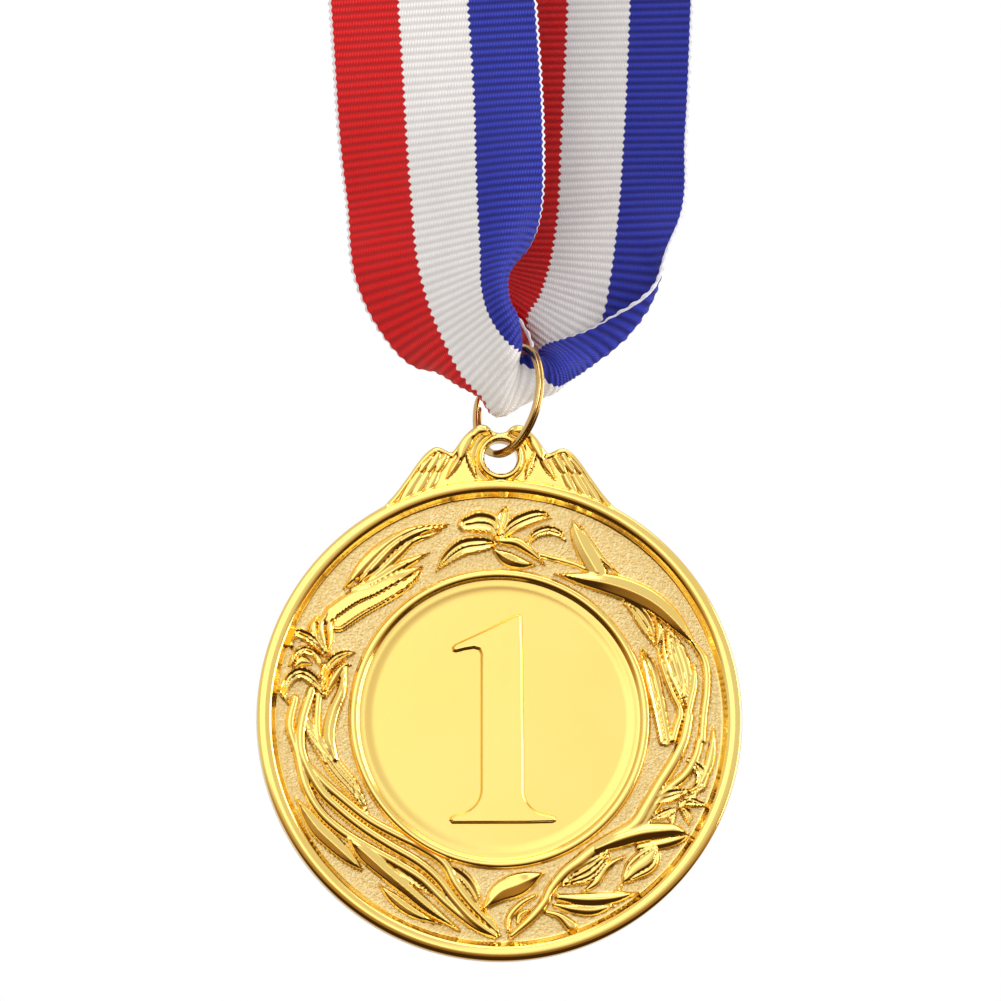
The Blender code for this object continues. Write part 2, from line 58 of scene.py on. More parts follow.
# ---- bail and eyelet ----
BAIL_Y = -2.1
BAIL_BACK_Y = -0.3
BAIL_RISE = 0.25
BORDER_HEIGHT = 0.30
BORDER_WIDTH = 0.42
EYELET = (0.1, 27.66)
EYELET_R = 1.75
COLLAR_R = 2.48
COLLAR_Y = -2.65
MOAT_WIDTH = 0.5
HOLE_ROW_YS = (-1.95, -1.3, -0.6)
HOLE_STEPS = 96

# ---- numeral: (inset from the outline, y) up its bevelled wall ----
NUMERAL_WALL = ((-0.06, -1.60), (-0.02, -1.78), (0.06, -1.98), (0.16, -2.12), (0.26, -2.2), (0.32, -2.2))

# ---- split ring ----
RING_OUTER_R = 6.2
WIRE_RADIAL = 0.72
WIRE_AXIAL = 0.40
WIRE_SQUARENESS = 2.6
TURN_PITCH = 0.44
RING_MEAN_R = RING_OUTER_R - WIRE_RADIAL / 2
RING_TURN = math.radians(60)
RING_LEAN = math.radians(11)
WIRE_AT_EYELET = np.array((0.15, -1.3, 28.2))
JOGGLE_CENTRE = math.radians(165)
JOGGLE_HALF = math.radians(15)
WIRE_SIDES = 20
COIL_STEP = math.radians(2.5)

# ---- ribbon ----
RIBBON_W = 22.0
RIBBON_T = 0.42
RIBBON_TOP_Z = 411.0
HANGER_FLAT_HALF = 4.0
HANGER_BEND = 3.5
LEG_TOP_Z = 398.0
LEG_TOP_Y = HANGER_FLAT_HALF + HANGER_BEND + 0.5
LEG_FOOT_Z = 76.0
# Each leg: foot x, slope at the foot, slope at the top, foot y.
FRONT_LEG = (-7.0, -0.10, 0.08, -3.6)
BACK_LEG = (10.9, 0.06, -0.08, 4.0)
FRONT_LEG_HEIGHTS = (350, 300, 250, 200, 150, 110, 85)
SEAM_LOW_Z = 340.0
SEAM_HIGH_Z = 352.0
SEAM_STEP_FOOT_Z = SEAM_LOW_Z - 15.0
SEAM_LIFT = 0.6
# The back leg turns away from facing straight back: its heights, and how far there.
BACK_LEG_YAW = ((80, 0.55), (110, 0.42), (150, 0.25), (200, 0.1), (250, 0), (300, 0), (SEAM_STEP_FOOT_Z, 0))
STRIPE_HALF = 3.667
STRIPE_TOOTH = 0.13
STRIPE_SOFT = 0.05
WARP_PITCH = 0.30
RIB_PITCH = 0.8
RIB_HEIGHT = 0.075
RIB_STEPS = 4
EDGE_LOOP = 0.11
# Places across the ribbon: even ones inside, and closer ones at both edges.
INNER_HALF = 10.4
INNER_COUNT = 27
EDGE_PLACES = (10.65, 10.85, RIBBON_W / 2)
CURL_REACH = RIBBON_W / 2 + 0.3
CURL_STEPS = 113

# ---- seam thread ----
THREAD_R = 0.15
THREAD_CLEAR = 0.04
THREAD_SIDES = 12
TWIST_PITCH = 0.55
PLY_PITCH = 1.6
PLY_DEPTH = 0.13
STITCH_LENGTH = 2.4
STITCH_ARCH = 0.12
STITCH_STEPS = 16
SEAM_ROW_HALF = 9.4
SEAM_ROW_GAP = 5.0

# ---- stage, in metres ----
CAMERA_AZIMUTH = math.radians(-3.5)
CAMERA_ELEVATION = math.radians(-8)
CAMERA_DISTANCE = 1.2
CAMERA_TARGET = Vector((0.0002, 0.0, 0.0234))
FRAME_WIDTH = 0.1055
FLOOR_Z = -0.25
FLOOR_HALF = 4.0


# ======== helpers ========


def unit(vector):
    vector = np.asarray(vector, float)
    return vector / np.linalg.norm(vector)


def smooth_step(value):
    value = np.clip(value, 0.0, 1.0)
    return value * value * (3 - 2 * value)


def curve_through(points, per_span):
    """Points along a smooth curve (Catmull-Rom) through rows of any width."""
    points = np.array(points, float)
    padded = np.vstack([2 * points[0] - points[1], points, 2 * points[-1] - points[-2]])
    t = np.linspace(0, 1, per_span, endpoint=False)[:, None]
    rows = []
    for i in range(len(points) - 1):
        a, b, c, d = padded[i : i + 4]
        square = 2 * a - 5 * b + 4 * c - d
        cube = 3 * b - a - 3 * c + d
        rows.append(0.5 * (2 * b + (c - a) * t + square * t**2 + cube * t**3))
    return np.vstack(rows + [points[-1:]])


def add_to_scene(obj):
    bpy.context.scene.collection.objects.link(obj)
    return obj


def make_object(name, points, faces, mat, smooth_angle=None, attributes=None):
    mesh = bpy.data.meshes.new(name)
    mesh.from_pydata((np.asarray(points) * MM).tolist(), [], faces)
    for key, values in (attributes or {}).items():
        layer = mesh.attributes.new(key, "FLOAT", "POINT")
        layer.data.foreach_set("value", np.asarray(values, np.float32))
    mesh.materials.append(mat)
    mesh.validate()
    mesh.shade_smooth()
    if smooth_angle:
        mesh.set_sharp_from_angle(angle=smooth_angle)
    return add_to_scene(bpy.data.objects.new(name, mesh))


def show_for(obj, body, node):
    """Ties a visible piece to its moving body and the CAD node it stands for."""
    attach(obj, body)
    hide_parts(node)


def quads(first, second):
    """Faces between two rows of vertex numbers, without those that have shrunk to nothing."""
    faces = []
    for a, b, c, d in zip(first[:-1], first[1:], second[1:], second[:-1]):
        corners = tuple(dict.fromkeys((int(a), int(b), int(c), int(d))))
        if len(corners) > 2:
            faces.append(corners)
    return faces


def tube_faces(rings, sides):
    """Faces of a capped tube whose points come ring by ring."""
    faces = []
    for i in range(rings - 1):
        first = np.append(np.arange(sides), 0) + i * sides
        faces += quads(first, first + sides)
    faces.append(tuple(range(sides)))
    faces.append(tuple(range((rings - 1) * sides, rings * sides))[::-1])
    return faces


# ======== materials ========


class Nodes:
    """Short names for building a material's nodes."""

    def __init__(self, name):
        self.mat = bpy.data.materials.new(name)
        self.mat.use_nodes = True
        self.tree = self.mat.node_tree
        self.shader = self.tree.nodes["Principled BSDF"]

    def add(self, kind, inputs=None, **settings):
        node = self.tree.nodes.new(kind)
        for key, value in settings.items():
            setattr(node, key, value)
        for key, value in (inputs or {}).items():
            self.feed(node.inputs[key], value)
        return node

    def feed(self, socket, value):
        if isinstance(value, bpy.types.NodeSocket):
            self.tree.links.new(value, socket)
        else:
            socket.default_value = value

    def math(self, operation, a, b=0.0):
        return self.add("ShaderNodeMath", {0: a, 1: b}, operation=operation).outputs[0]

    def plus(self, a, b):
        return self.math("ADD", a, b)

    def minus(self, a, b):
        return self.math("SUBTRACT", a, b)

    def times(self, a, b):
        return self.math("MULTIPLY", a, b)

    def mix(self, share, a, b):
        return self.add("ShaderNodeMix", {0: share, 6: a, 7: b}, data_type="RGBA").outputs[2]

    def attribute(self, name):
        return self.add("ShaderNodeAttribute", attribute_name=name).outputs["Fac"]

    def position(self):
        return self.add("ShaderNodeTexCoord").outputs["Object"]

    def noise(self, scale, detail, vector):
        inputs = {"Scale": scale, "Detail": detail, "Vector": vector}
        return self.add("ShaderNodeTexNoise", inputs).outputs["Fac"]

    def ramp(self, value, low, high):
        """Rises from 0 to 1 as the value goes from low to high."""
        return self.add("ShaderNodeMapRange", {0: value, 1: low, 2: high, 3: 0.0, 4: 1.0}).outputs[0]

    def bump(self, height, strength=1.0):
        """A shading normal bent by a height in metres."""
        inputs = {"Strength": strength, "Distance": 1.0, "Height": height}
        return self.add("ShaderNodeBump", inputs).outputs[0]

    def finish(self, inputs):
        for key, value in inputs.items():
            self.feed(self.shader.inputs[key], value)
        return self.mat


def gold_material():
    """Gold plate: polished on the rim, relief and bail, satin in the centre, sandblasted in the field."""
    n = Nodes("gold_plate_look")
    frosted = n.attribute("frosted")
    satin = n.attribute("satin")
    where = n.position()
    drift = n.noise(60.0, 3.0, where)
    specks = n.noise(3600.0, 1.0, where)
    bright = n.mix(n.ramp(drift, 0.3, 0.7), (1.0, 0.70, 0.19, 1), (1.0, 0.74, 0.23, 1))
    dull = n.mix(n.ramp(specks, 0.3, 0.7), (0.88, 0.60, 0.20, 1), (1.0, 0.83, 0.44, 1))
    rough = n.plus(n.times(frosted, 0.30), n.times(satin, 0.12))
    rough = n.plus(rough, n.times(drift, 0.06))
    grains = n.times(n.times(n.noise(5200.0, 2.0, where), frosted), 0.00006)
    waves = n.times(n.noise(900.0, 1.0, where), 0.0000022)
    look = {
        "Base Color": n.mix(frosted, bright, dull),
        "Metallic": 1.0,
        "Roughness": n.plus(rough, 0.10),
        "Normal": n.bump(n.plus(grains, waves)),
    }
    return n.finish(look)


def ring_material():
    n = Nodes("ring_gold_look")
    where = n.position()
    drift = n.noise(220.0, 4.0, where)
    scratches = n.times(n.noise(2500.0, 2.0, where), 0.00001)
    look = {
        "Base Color": n.mix(drift, (0.62, 0.40, 0.14, 1), (0.78, 0.54, 0.22, 1)),
        "Metallic": 1.0,
        "Roughness": n.plus(n.times(drift, 0.12), 0.14),
        "Normal": n.bump(scratches, 0.3),
    }
    return n.finish(look)


def ribbon_material():
    """Grosgrain: three woven stripes with toothed borders, white edge loops and fine warp on each rib; each
    stripe's colour is painted lighter on the rib crests and warp threads and darker in the valleys between
    them, as painted highlight and shade.
    """
    n = Nodes("ribbon_look")
    across = n.attribute("across")
    rib = n.times(n.attribute("along"), 2 * math.pi / RIB_PITCH)
    wave = n.math("COSINE", rib)
    tooth = n.times(wave, STRIPE_TOOTH)
    red_side = n.ramp(n.plus(across, tooth), -STRIPE_HALF - STRIPE_SOFT, -STRIPE_HALF + STRIPE_SOFT)
    blue_side = n.ramp(n.minus(across, tooth), STRIPE_HALF - STRIPE_SOFT, STRIPE_HALF + STRIPE_SOFT)
    warp = n.math("SINE", n.plus(n.times(across, 2 * math.pi / WARP_PITCH), n.times(rib, 0.5)))
    ribs = n.plus(n.times(wave, 0.5), 0.5)
    # Painted shade and highlight: the stripe colours go lighter on the rib crests and warp threads and darker
    # in the valleys between them.
    painted_shade = n.plus(n.times(warp, 0.10), n.times(ribs, 0.9))
    where = n.position()
    red = n.mix(painted_shade, (0.40, 0.001, 0.001, 1), (0.76, 0.002, 0.002, 1))
    white = n.mix(painted_shade, (0.64, 0.60, 0.58, 1), (0.86, 0.83, 0.80, 1))
    blue = n.mix(painted_shade, (0.006, 0.007, 0.15, 1), (0.022, 0.036, 0.43, 1))
    cloth = n.mix(blue_side, n.mix(red_side, red, white), blue)
    edge = n.ramp(n.minus(n.math("ABSOLUTE", across), n.times(ribs, 0.12)), 10.66, 10.72)
    cloth = n.mix(n.times(edge, 0.9), cloth, (0.80, 0.78, 0.78, 1))
    mottle = n.noise(420.0, 3.0, where)
    threads = n.times(n.times(warp, ribs), 0.00003)
    fuzz = n.times(n.noise(2600.0, 3.0, where), 0.00003)
    look = {
        "Base Color": n.mix(n.times(mottle, 0.10), cloth, (0.12, 0.10, 0.12, 1)),
        "Roughness": 0.48,
        "Sheen Weight": 0.04,
        "Sheen Roughness": 0.4,
        "Specular IOR Level": 0.22,
        "Normal": n.bump(n.plus(threads, fuzz)),
    }
    return n.finish(look)


def thread_material():
    n = Nodes("thread_look")
    along = n.times(n.attribute("along"), 2 * math.pi / TWIST_PITCH)
    twist = n.math("SINE", n.plus(along, n.times(n.attribute("round"), 3.0)))
    # Painted shade: the thread is lighter on the crests of its twisted plies and darker in the grooves
    # between them.
    painted_shade = n.plus(n.times(twist, 0.3), 0.6)
    look = {
        "Base Color": n.mix(painted_shade, (0.60, 0.58, 0.56, 1), (0.90, 0.89, 0.86, 1)),
        "Roughness": 0.55,
        "Sheen Weight": 0.3,
        "Normal": n.bump(n.times(twist, 0.00004), 0.8),
    }
    return n.finish(look)


def floor_material():
    n = Nodes("floor_look")
    tone = n.noise(3.0, 2.0, n.position())
    grey = n.mix(tone, (0.86, 0.86, 0.86, 1), (0.90, 0.90, 0.90, 1))
    return n.finish({"Base Color": grey, "Roughness": 0.8})


# ======== medal relief ========

# Each blade is its cross-section, its height above the field, and its spine as (x, z, half width).
# A point without a half width keeps the one before it.
WREATH = (
    # the spray of leaves at the upper left, and the bell at its foot
    ("fold", 0.55, (-16.3, 13.7, 0.15), (-14.4, 16, 0.65), (-12.4, 18), (-10.6, 19.3, 0.43),
        (-8.4, 20.2, 0.28), (-5.3, 20.6, 0.05)),
    ("fold", 0.6, (-14.8, 14.3, 0.19), (-12.9, 16.4, 0.53), (-11.3, 18.1), (-9.5, 19.3, 0.43),
        (-7.6, 20, 0.28), (-5.4, 20.3, 0.05)),
    ("fold", 0.5, (-14.4, 14.1, 0.15), (-12.6, 15.5, 0.46), (-10.7, 17.3), (-9.2, 18.7, 0.37),
        (-7.6, 19.3, 0.25), (-6.1, 19.9, 0.05)),
    ("fold", 0.6, (-15.5, 13.5, 0.31), (-13, 14.5, 0.59), (-10.7, 15.9, 0.54), (-8.9, 16.8, 0.37),
        (-7.4, 17.6, 0.05)),
    ("bell", 0.95, (-17.1, 10.6, 1.47), (-15.1, 12), (-13, 13, 1.27), (-10.7, 14.3, 1.16),
        (-9.2, 15.2, 0.74), (-8.1, 16.1, 0.06)),
    # the lily on the left
    ("petal", 0.75, (-18.4, 6.6, 0.22), (-19.2, 7.7, 0.49), (-20.2, 8.5, 0.56), (-21.2, 8.9, 0.49),
        (-22, 8.4, 0.4), (-21.8, 7.3, 0.12)),
    ("petal", 0.7, (-18.8, 5.6, 0.22), (-19.5, 6.7, 0.4), (-20.5, 7.1, 0.46), (-21.4, 6.6, 0.4),
        (-22.1, 5.4, 0.08)),
    ("round", 0.5, (-21.5, 5.4, 0.19), (-20.8, 6, 0.53), (-19.8, 5.7, 0.15)),
    ("petal", 0.8, (-18.6, 2.5, 0.15), (-19.5, 3.9, 0.59), (-20.8, 4.7, 0.65), (-22, 4.1, 0.59),
        (-22.7, 2.7, 0.43), (-22.1, 1.4, 0.09)),
    ("fold", 0.7, (-18.4, 6.9, 0.19), (-19.2, 8.2, 0.37), (-19.7, 9.5, 0.43), (-19.2, 10.6, 0.22)),
    ("fold", 0.8, (-18.2, 6.9, 0.15), (-18.6, 8.4, 0.34), (-18.8, 9.8, 0.4), (-18.1, 11.1, 0.22)),
    ("fold", 0.75, (-18, 6.9, 0.12), (-17.8, 8.5, 0.34), (-17.9, 9.9, 0.4), (-17.1, 11.3, 0.15)),
    ("petal", 0.85, (-18.5, 3, 0.23), (-18.3, 4.9, 0.49), (-17.4, 6.1, 0.59), (-16.3, 6.7, 0.43),
        (-15.2, 6.9, 0.05)),
    ("fold", 0.7, (-18.4, 2.2, 0.23), (-17.5, 4, 0.53), (-16.5, 5.4, 0.37), (-15.6, 5.6, 0.06)),
    # the stems down the left
    ("round", 0.6, (-21.5, 2, 0.42), (-22, -0.2, 0.47), (-21.9, -1.6), (-21.2, -3.9), (-20.3, -7.3, 0.53),
        (-18.9, -9.8), (-16.8, -11.8), (-14.1, -13.5), (-11, -15.2), (-8.1, -17), (-5.5, -19.5),
        (-2.7, -21.8, 0.47), (-0.9, -22.8, 0.32)),
    ("round", 0.75, (-19.8, 2.8, 0.53), (-20.7, -0.2), (-20.9, -2.6), (-20.4, -4.8), (-18.8, -7.7),
        (-16.9, -9.6), (-14.4, -11.6), (-11.6, -13.4), (-8.5, -15.2), (-6.4, -17), (-4.6, -19.3),
        (-2.7, -21.3), (-0.5, -22.9, 0.32)),
    ("round", 0.7, (-20.2, -4.7, 0.21), (-18.6, -6.7, 0.53), (-16.7, -8.4), (-13.8, -10.7),
        (-11.1, -12.2), (-8.1, -13.7), (-5.8, -15.3), (-4.5, -17.6), (-2.8, -19.8, 0.47),
        (-0.3, -22.4, 0.32)),
    ("round", 0.55, (-19, 2.4, 0.42), (-19.2, -0.2), (-19, -2.6), (-18.2, -4.7, 0.32)),
    # leaves along the left stems
    ("fold", 0.7, (-16.3, 5.2, 0.32), (-16.6, 2.8, 0.53), (-17.5, 0.5, 0.63), (-17.9, -1.9),
        (-17.3, -4.4, 0.42)),
    ("ribbed", 0.6, (-20.4, -0.3, 0.42), (-19.5, -2, 0.67), (-18.1, -4, 0.87), (-16.8, -5.8, 0.92),
        (-15.4, -7.4, 0.81), (-13.7, -10.2, 0.05)),
    ("fold", 0.6, (-21.4, -8.5, 0.05), (-20.3, -10.1, 0.59), (-19, -11.8, 0.84), (-17.3, -13.4),
        (-15.8, -14.8, 0.64), (-14.5, -16, 0.17)),
    ("fold", 0.75, (-16, -12.7, 0.05), (-14.1, -14.3, 0.84), (-12.1, -16.1), (-9.7, -18.1, 0.71),
        (-7.2, -20.2, 0.6), (-4.3, -22.3, 0.17)),
    ("fold", 0.45, (-12.7, -17.5, 0.05), (-11.1, -19, 0.54), (-9, -20.5), (-6.2, -21.7, 0.08)),
    ("cup", 0.5, (-13.1, -13.9, 0.13), (-11.1, -15.4, 0.76), (-9, -16.9, 0.71), (-7.1, -18.7, 0.07)),
    ("cup", 0.65, (-5.7, -15.6, 0.17), (-4.3, -16.8, 0.97), (-3.2, -18.1), (-1.9, -20.1, 0.13)),
    # the lily at the top, and its stem
    ("petal", 0.75, (-0.4, 18.5, 0.19), (-1.8, 18.5, 0.77), (-3.8, 18.2, 0.94), (-5.4, 17.1, 0.68),
        (-6.7, 15.6, 0.06)),
    ("petal", 0.7, (-0.2, 19, 0.24), (-0.7, 20.5, 0.97), (-2.1, 20.9, 1.16), (-3.6, 20.6, 0.77)),
    ("petal", 0.75, (0, 19.7, 0.35), (0.3, 21.2, 0.74), (0.7, 22.5, 0.16)),
    ("petal", 0.75, (0.1, 19.2, 0.24), (1.4, 20.5, 0.74), (3, 21.3, 0.81), (4.3, 21.6, 0.61),
        (5.3, 21.4, 0.13)),
    ("petal", 0.65, (2.9, 18.4, 0.16), (3.7, 19.5, 0.45), (5, 20, 0.52), (6.1, 19.8, 0.45),
        (6.9, 19, 0.1)),
    ("round", 0.85, (0.1, 18.8, 0.35), (1.7, 18.7, 0.58), (3, 17.9, 0.48), (4.7, 16.4, 0.1)),
    ("fold", 0.6, (-0.5, 17.8, 0.24), (0.8, 17, 0.71), (2.2, 16.5, 0.58), (3.7, 16.3, 0.1)),
    ("round", 0.45, (3.5, 17.6, 0.26), (5.4, 17.1, 0.27), (7.9, 16.4, 0.26), (9.6, 15.6, 0.19)),
    # the leaves at the upper right
    ("fold", 0.7, (7.7, 21.1, 0.08), (8.1, 19.8, 0.61), (8.9, 18, 0.89), (10.3, 15.6, 1)),
    ("round", 0.5, (8.5, 20.6, 0.06), (9.6, 18.7, 0.32), (10.9, 16.9), (12.5, 15.5, 0.13)),
    ("fold", 0.85, (5.7, 15.4, 0.05), (8.4, 14.9, 0.61), (11.3, 14.4, 1.06), (14.1, 13.5, 1.16),
        (16.5, 12.2, 1.1), (18.6, 10.3, 0.84), (20.4, 8.1, 0.23)),
    ("cup", 0.55, (13.1, 12.5, 0.16), (14.4, 11.6, 0.68), (15.5, 10, 0.77), (16.4, 7.8, 0.06)),
    ("fold", 0.6, (16.4, 10.8, 0.1), (16.9, 9.4, 0.42), (16.5, 7.7, 0.06)),
    # the long buds on the right
    ("ribbed", 0.6, (17.8, 9.5, 0.24), (18.6, 7.1, 1.06), (19.3, 4.6), (19.7, 1.8, 0.1)),
    ("round", 0.75, (17.2, 9.5, 0.13), (17.3, 7.1, 0.26), (17.8, 5.1, 0.27), (18.6, 3.3),
        (19.3, 1.6, 0.16)),
    ("cup", 0.6, (14.9, 7.5, 0.16), (15.7, 5.8, 0.71), (16.3, 3.5, 0.81), (16.9, 0.6, 0.74),
        (17.4, -2.1, 0.65)),
    # the stems down the right
    ("round", 0.65, (20.3, 8.2, 0.29), (21.3, 6.9, 0.44), (21.8, 5.3, 0.45), (21.8, 3), (21.5, 0.6),
        (21.3, -2.1)),
    ("round", 0.75, (20.5, 5.8, 0.16), (20.5, 3.8, 0.39), (20.1, 1.9, 0.42), (19.7, -0),
        (19.3, -2.1, 0.45)),
    ("round", 0.7, (16.6, 7.7, 0.13), (17.3, 5.1, 0.32), (18.2, 2.7, 0.35), (19, 0.9, 0.39),
        (18.6, -0.7, 0.42), (18.2, -2.1)),
    ("round", 0.8, (20, 0.4, 0.47), (19.4, -2.1, 0.58), (18.3, -4.4, 0.63), (16.8, -6.8),
        (15.5, -9.1, 0.68), (14.3, -11, 0.74), (12.1, -12.4), (10, -13.7), (8.5, -14.9),
        (6.8, -16.2, 0.63), (5.4, -17.9, 0.53), (4.7, -19.3), (3.3, -21), (1.2, -22.9, 0.32)),
    ("round", 0.65, (21.1, -2.1, 0.47), (20.6, -3.9), (19.5, -5.8, 0.53), (17.4, -7.6), (16.2, -9.3),
        (15, -11.2)),
    # leaves along the right stems
    ("fold", 0.55, (22.5, -0.7, 0.11), (22.4, -2.6, 0.42), (22, -4.7, 0.53), (21, -7.1, 0.32)),
    ("cup", 0.55, (20, -4.2, 0.32), (21.2, -5.5, 0.63), (21.1, -6.8), (20.2, -7.4, 0.32)),
    # the spray at the lower right
    ("fold", 0.95, (10.1, -13.7, 0.44), (12.4, -12.7, 0.91), (14.8, -12, 0.94), (17.3, -11.7, 0.79),
        (18.5, -11.7, 0.59), (19.8, -12, 0.07)),
    ("fold", 0.6, (14.7, -13.5, 0.45), (16.9, -13.1, 0.59), (18.7, -12.6, 0.52), (19.8, -12.2, 0.07)),
    ("bud", 0.85, (13.1, -17, 0.28), (14.2, -15.8, 1.08), (15.5, -14.8, 1.26), (16.4, -13.6, 0.17)),
    ("round", 0.5, (12.2, -18.2, 0.21), (12.7, -17.6), (13.3, -16.8)),
    ("ribbed", 0.75, (6.6, -17.5, 0.14), (7.8, -16.6, 0.91), (9.2, -15.8, 1.26), (11.1, -14.4, 0.52)),
    ("round", 0.55, (8.7, -18.2, 0.1), (10.1, -17.2, 0.42), (11.2, -15.6), (13.1, -14.4, 0.14)),
    ("fold", 0.65, (6.2, -18.8, 0.38), (9.2, -19, 0.66), (12, -18.8, 0.59), (14.6, -18.2, 0.05)),
    ("fold", 0.5, (5.8, -19.6, 0.24), (7.8, -20, 0.52), (9.9, -20.1, 0.56), (12.1, -19.6, 0.05)),
    ("round", 0.6, (5, -20.4, 0.24), (6.3, -20.8, 0.38), (7.5, -21.8, 0.66)),
    # where the two sides meet at the bottom
    ("fold", 0.7, (-1.6, -20, 0.17), (0, -18.3, 1.01), (2.1, -17.4, 1.15), (4.7, -16.2, 0.07)),
    ("round", 0.55, (3.8, -18.6, 0.21), (2.2, -19.5, 0.35), (1, -20.9), (0.9, -22.3, 0.24)),
    ("round", 0.5, (3.1, -20.1, 0.14), (2.1, -20.7, 0.31), (1.9, -21.6, 0.17)),
    ("round", 0.6, (-1.5, -20.3, 0.14), (-0.7, -21.5, 0.23), (0, -22.8, 0.14)),
    # the small flower on the right
    ("petal", 0.7, (16.2, -8.7, 0.24), (17.8, -8, 0.73), (19.6, -7.5, 0.28)),
    ("petal", 0.65, (18.8, -8.8, 0.17), (20.2, -8.6, 0.52), (21.8, -9, 0.07)),
    ("petal", 0.65, (19, -8.8, 0.14), (19.9, -8.2, 0.38), (20.8, -7.7, 0.07)),
    ("petal", 0.7, (18.9, -9, 0.17), (19.7, -9.9, 0.52), (19.9, -10.9, 0.1)),
    ("petal", 0.6, (18.7, -9.3, 0.17), (17.3, -9.9, 0.52), (15.8, -10.5, 0.07)),
    ("petal", 0.55, (18.5, -9.5, 0.14), (18.1, -10.3, 0.38), (18.3, -11.1, 0.07)),
)

# The bail's relief on its right half, mirrored to the left: feathers, tail, legs, body and head of a bird.
BAIL_BLADES = (
    ("fold", 0.24, (6.9, 25.9, 0.36), (7.4, 24.9, 0.40), (8.0, 23.9, 0.30)),
    ("fold", 0.24, (7.8, 25.9, 0.38), (8.5, 24.7, 0.44), (9.3, 23.4, 0.34)),
    ("fold", 0.24, (8.7, 25.8, 0.38), (9.6, 24.4, 0.44), (10.5, 22.9, 0.34)),
    ("fold", 0.30, (5.9, 27.7, 0.34), (6.4, 26.9, 0.40), (6.8, 26.2, 0.30)),
    ("fold", 0.30, (6.7, 27.9, 0.34), (7.2, 27.0, 0.40), (7.7, 26.2, 0.32)),
    ("fold", 0.30, (7.5, 27.5, 0.30), (8.1, 26.8, 0.36), (8.5, 26.2, 0.30)),
    ("fold", 0.40, (4.1, 28.1, 0.20), (4.9, 26.8, 0.36), (5.8, 25.4, 0.08)),
    ("fold", 0.40, (3.7, 28.1, 0.20), (3.2, 26.8, 0.30), (2.7, 25.5, 0.10)),
    ("round", 0.52, (3.0, 30.4, 0.40), (3.7, 29.4, 0.72), (4.2, 28.3, 0.55), (4.4, 27.6, 0.25)),
    ("round", 0.62, (1.5, 30.4, 0.12), (1.9, 30.55, 0.40), (2.5, 30.5, 0.50), (3.0, 30.0, 0.40)),
)

# The bail's outline as (degrees from the top, distance from the disc's centre), the same on both sides:
# the collar and the head, the neck, the wing's shoulder and the wing down to the disc.
BAIL_OUTLINE = (
    *((0.0, 30.25), (1.3, 30.45), (2.3, 31.0), (3.6, 31.2), (4.9, 30.98)),
    *((7.1, 30.15), (8.8, 29.25), (10.2, 28.65)),
    *((11.2, 28.9), (12.5, 29.38), (13.9, 29.48), (15.9, 29.02)),
    *((18.4, 28.15), (20.8, 27.3), (24.5, 26.25), (28.5, DISC_R)),
)

# The turned face of the disc as (radius, y): centre, step, bead, field and rim.
FACE_PROFILE = (
    *((0.0, CENTRE_Y), (13.85, CENTRE_Y), (13.95, CENTRE_Y - 0.03), (14.62, CENTRE_Y - 0.03)),
    *((14.78, -1.80), (14.98, -2.10), (15.15, -2.19), (15.35, -2.21), (15.55, -2.19), (15.70, -2.10)),
    *((FIELD_IN_R - 0.02, FIELD_Y), (FIELD_OUT_R, FIELD_Y), (FIELD_OUT_R + 0.12, -1.66)),
    *((24.08, -2.42), (24.26, -2.53), (24.5, -2.585), (24.75, RIM_Y), (24.95, -2.585), (SHELL_R, -2.53)),
)

# The plain back as (radius, y), with its shallow recessed band.
BACK_PROFILE = (
    *((24.6, 0.0), (BACK_BAND_R, 0.0), (BACK_BAND_R - 0.2, BACK_BAND_Y), (19.0, BACK_BAND_Y)),
    *((BACK_FLAT_R + 0.2, BACK_BAND_Y), (BACK_FLAT_R, 0.0), (8.0, 0.0), (2.5, 0.0)),
)


def blade_height(kind, across, tall):
    """Height of a blade over the field at a place across it (-1 to 1)."""
    away = np.abs(across)
    wall = 1 - smooth_step((away - 0.86) / 0.26)
    if kind == "round":
        body = 0.35 + 0.65 * np.sqrt(np.clip(1 - away**2, 0, 1))
    elif kind == "cup":
        body = 0.62 + 0.38 * smooth_step((away - 0.35) / 0.4) + 0.30 * np.clip(1 - away / 0.14, 0, 1)
    elif kind == "petal":
        body = 0.72 + 0.28 * smooth_step((away - 0.3) / 0.5) + 0.22 * np.clip(1 - away / 0.2, 0, 1)
    elif kind == "ribbed":
        body = 0.75 + 0.20 * np.abs(np.cos(across * math.pi * 2.2)) - 0.12 * away
    elif kind == "bell":
        upper = 0.70 + 0.30 * np.clip((1 - across) / 0.85, 0, 1)
        inside = 0.12 + 0.75 * smooth_step(across / 0.2)
        lip = 0.45 * smooth_step((-across - 0.62) / 0.15)
        body = np.where(across > 0.1, upper, np.maximum(inside, lip))
    elif kind == "bud":
        body = 0.55 + 0.45 * np.sqrt(np.clip(1 - away**2, 0, 1)) - 0.18 * np.exp(-(((away - 0.5) / 0.1) ** 2))
    else:
        body = 0.68 + 0.40 * np.clip(1 - away / 0.95, 0, 1)
    return tall * wall * body


def full_spine(spine):
    """The spine with a half width at every point."""
    rows = []
    for x, z, *width in spine:
        rows.append((x, z, width[0] if width else rows[-1][2]))
    return rows


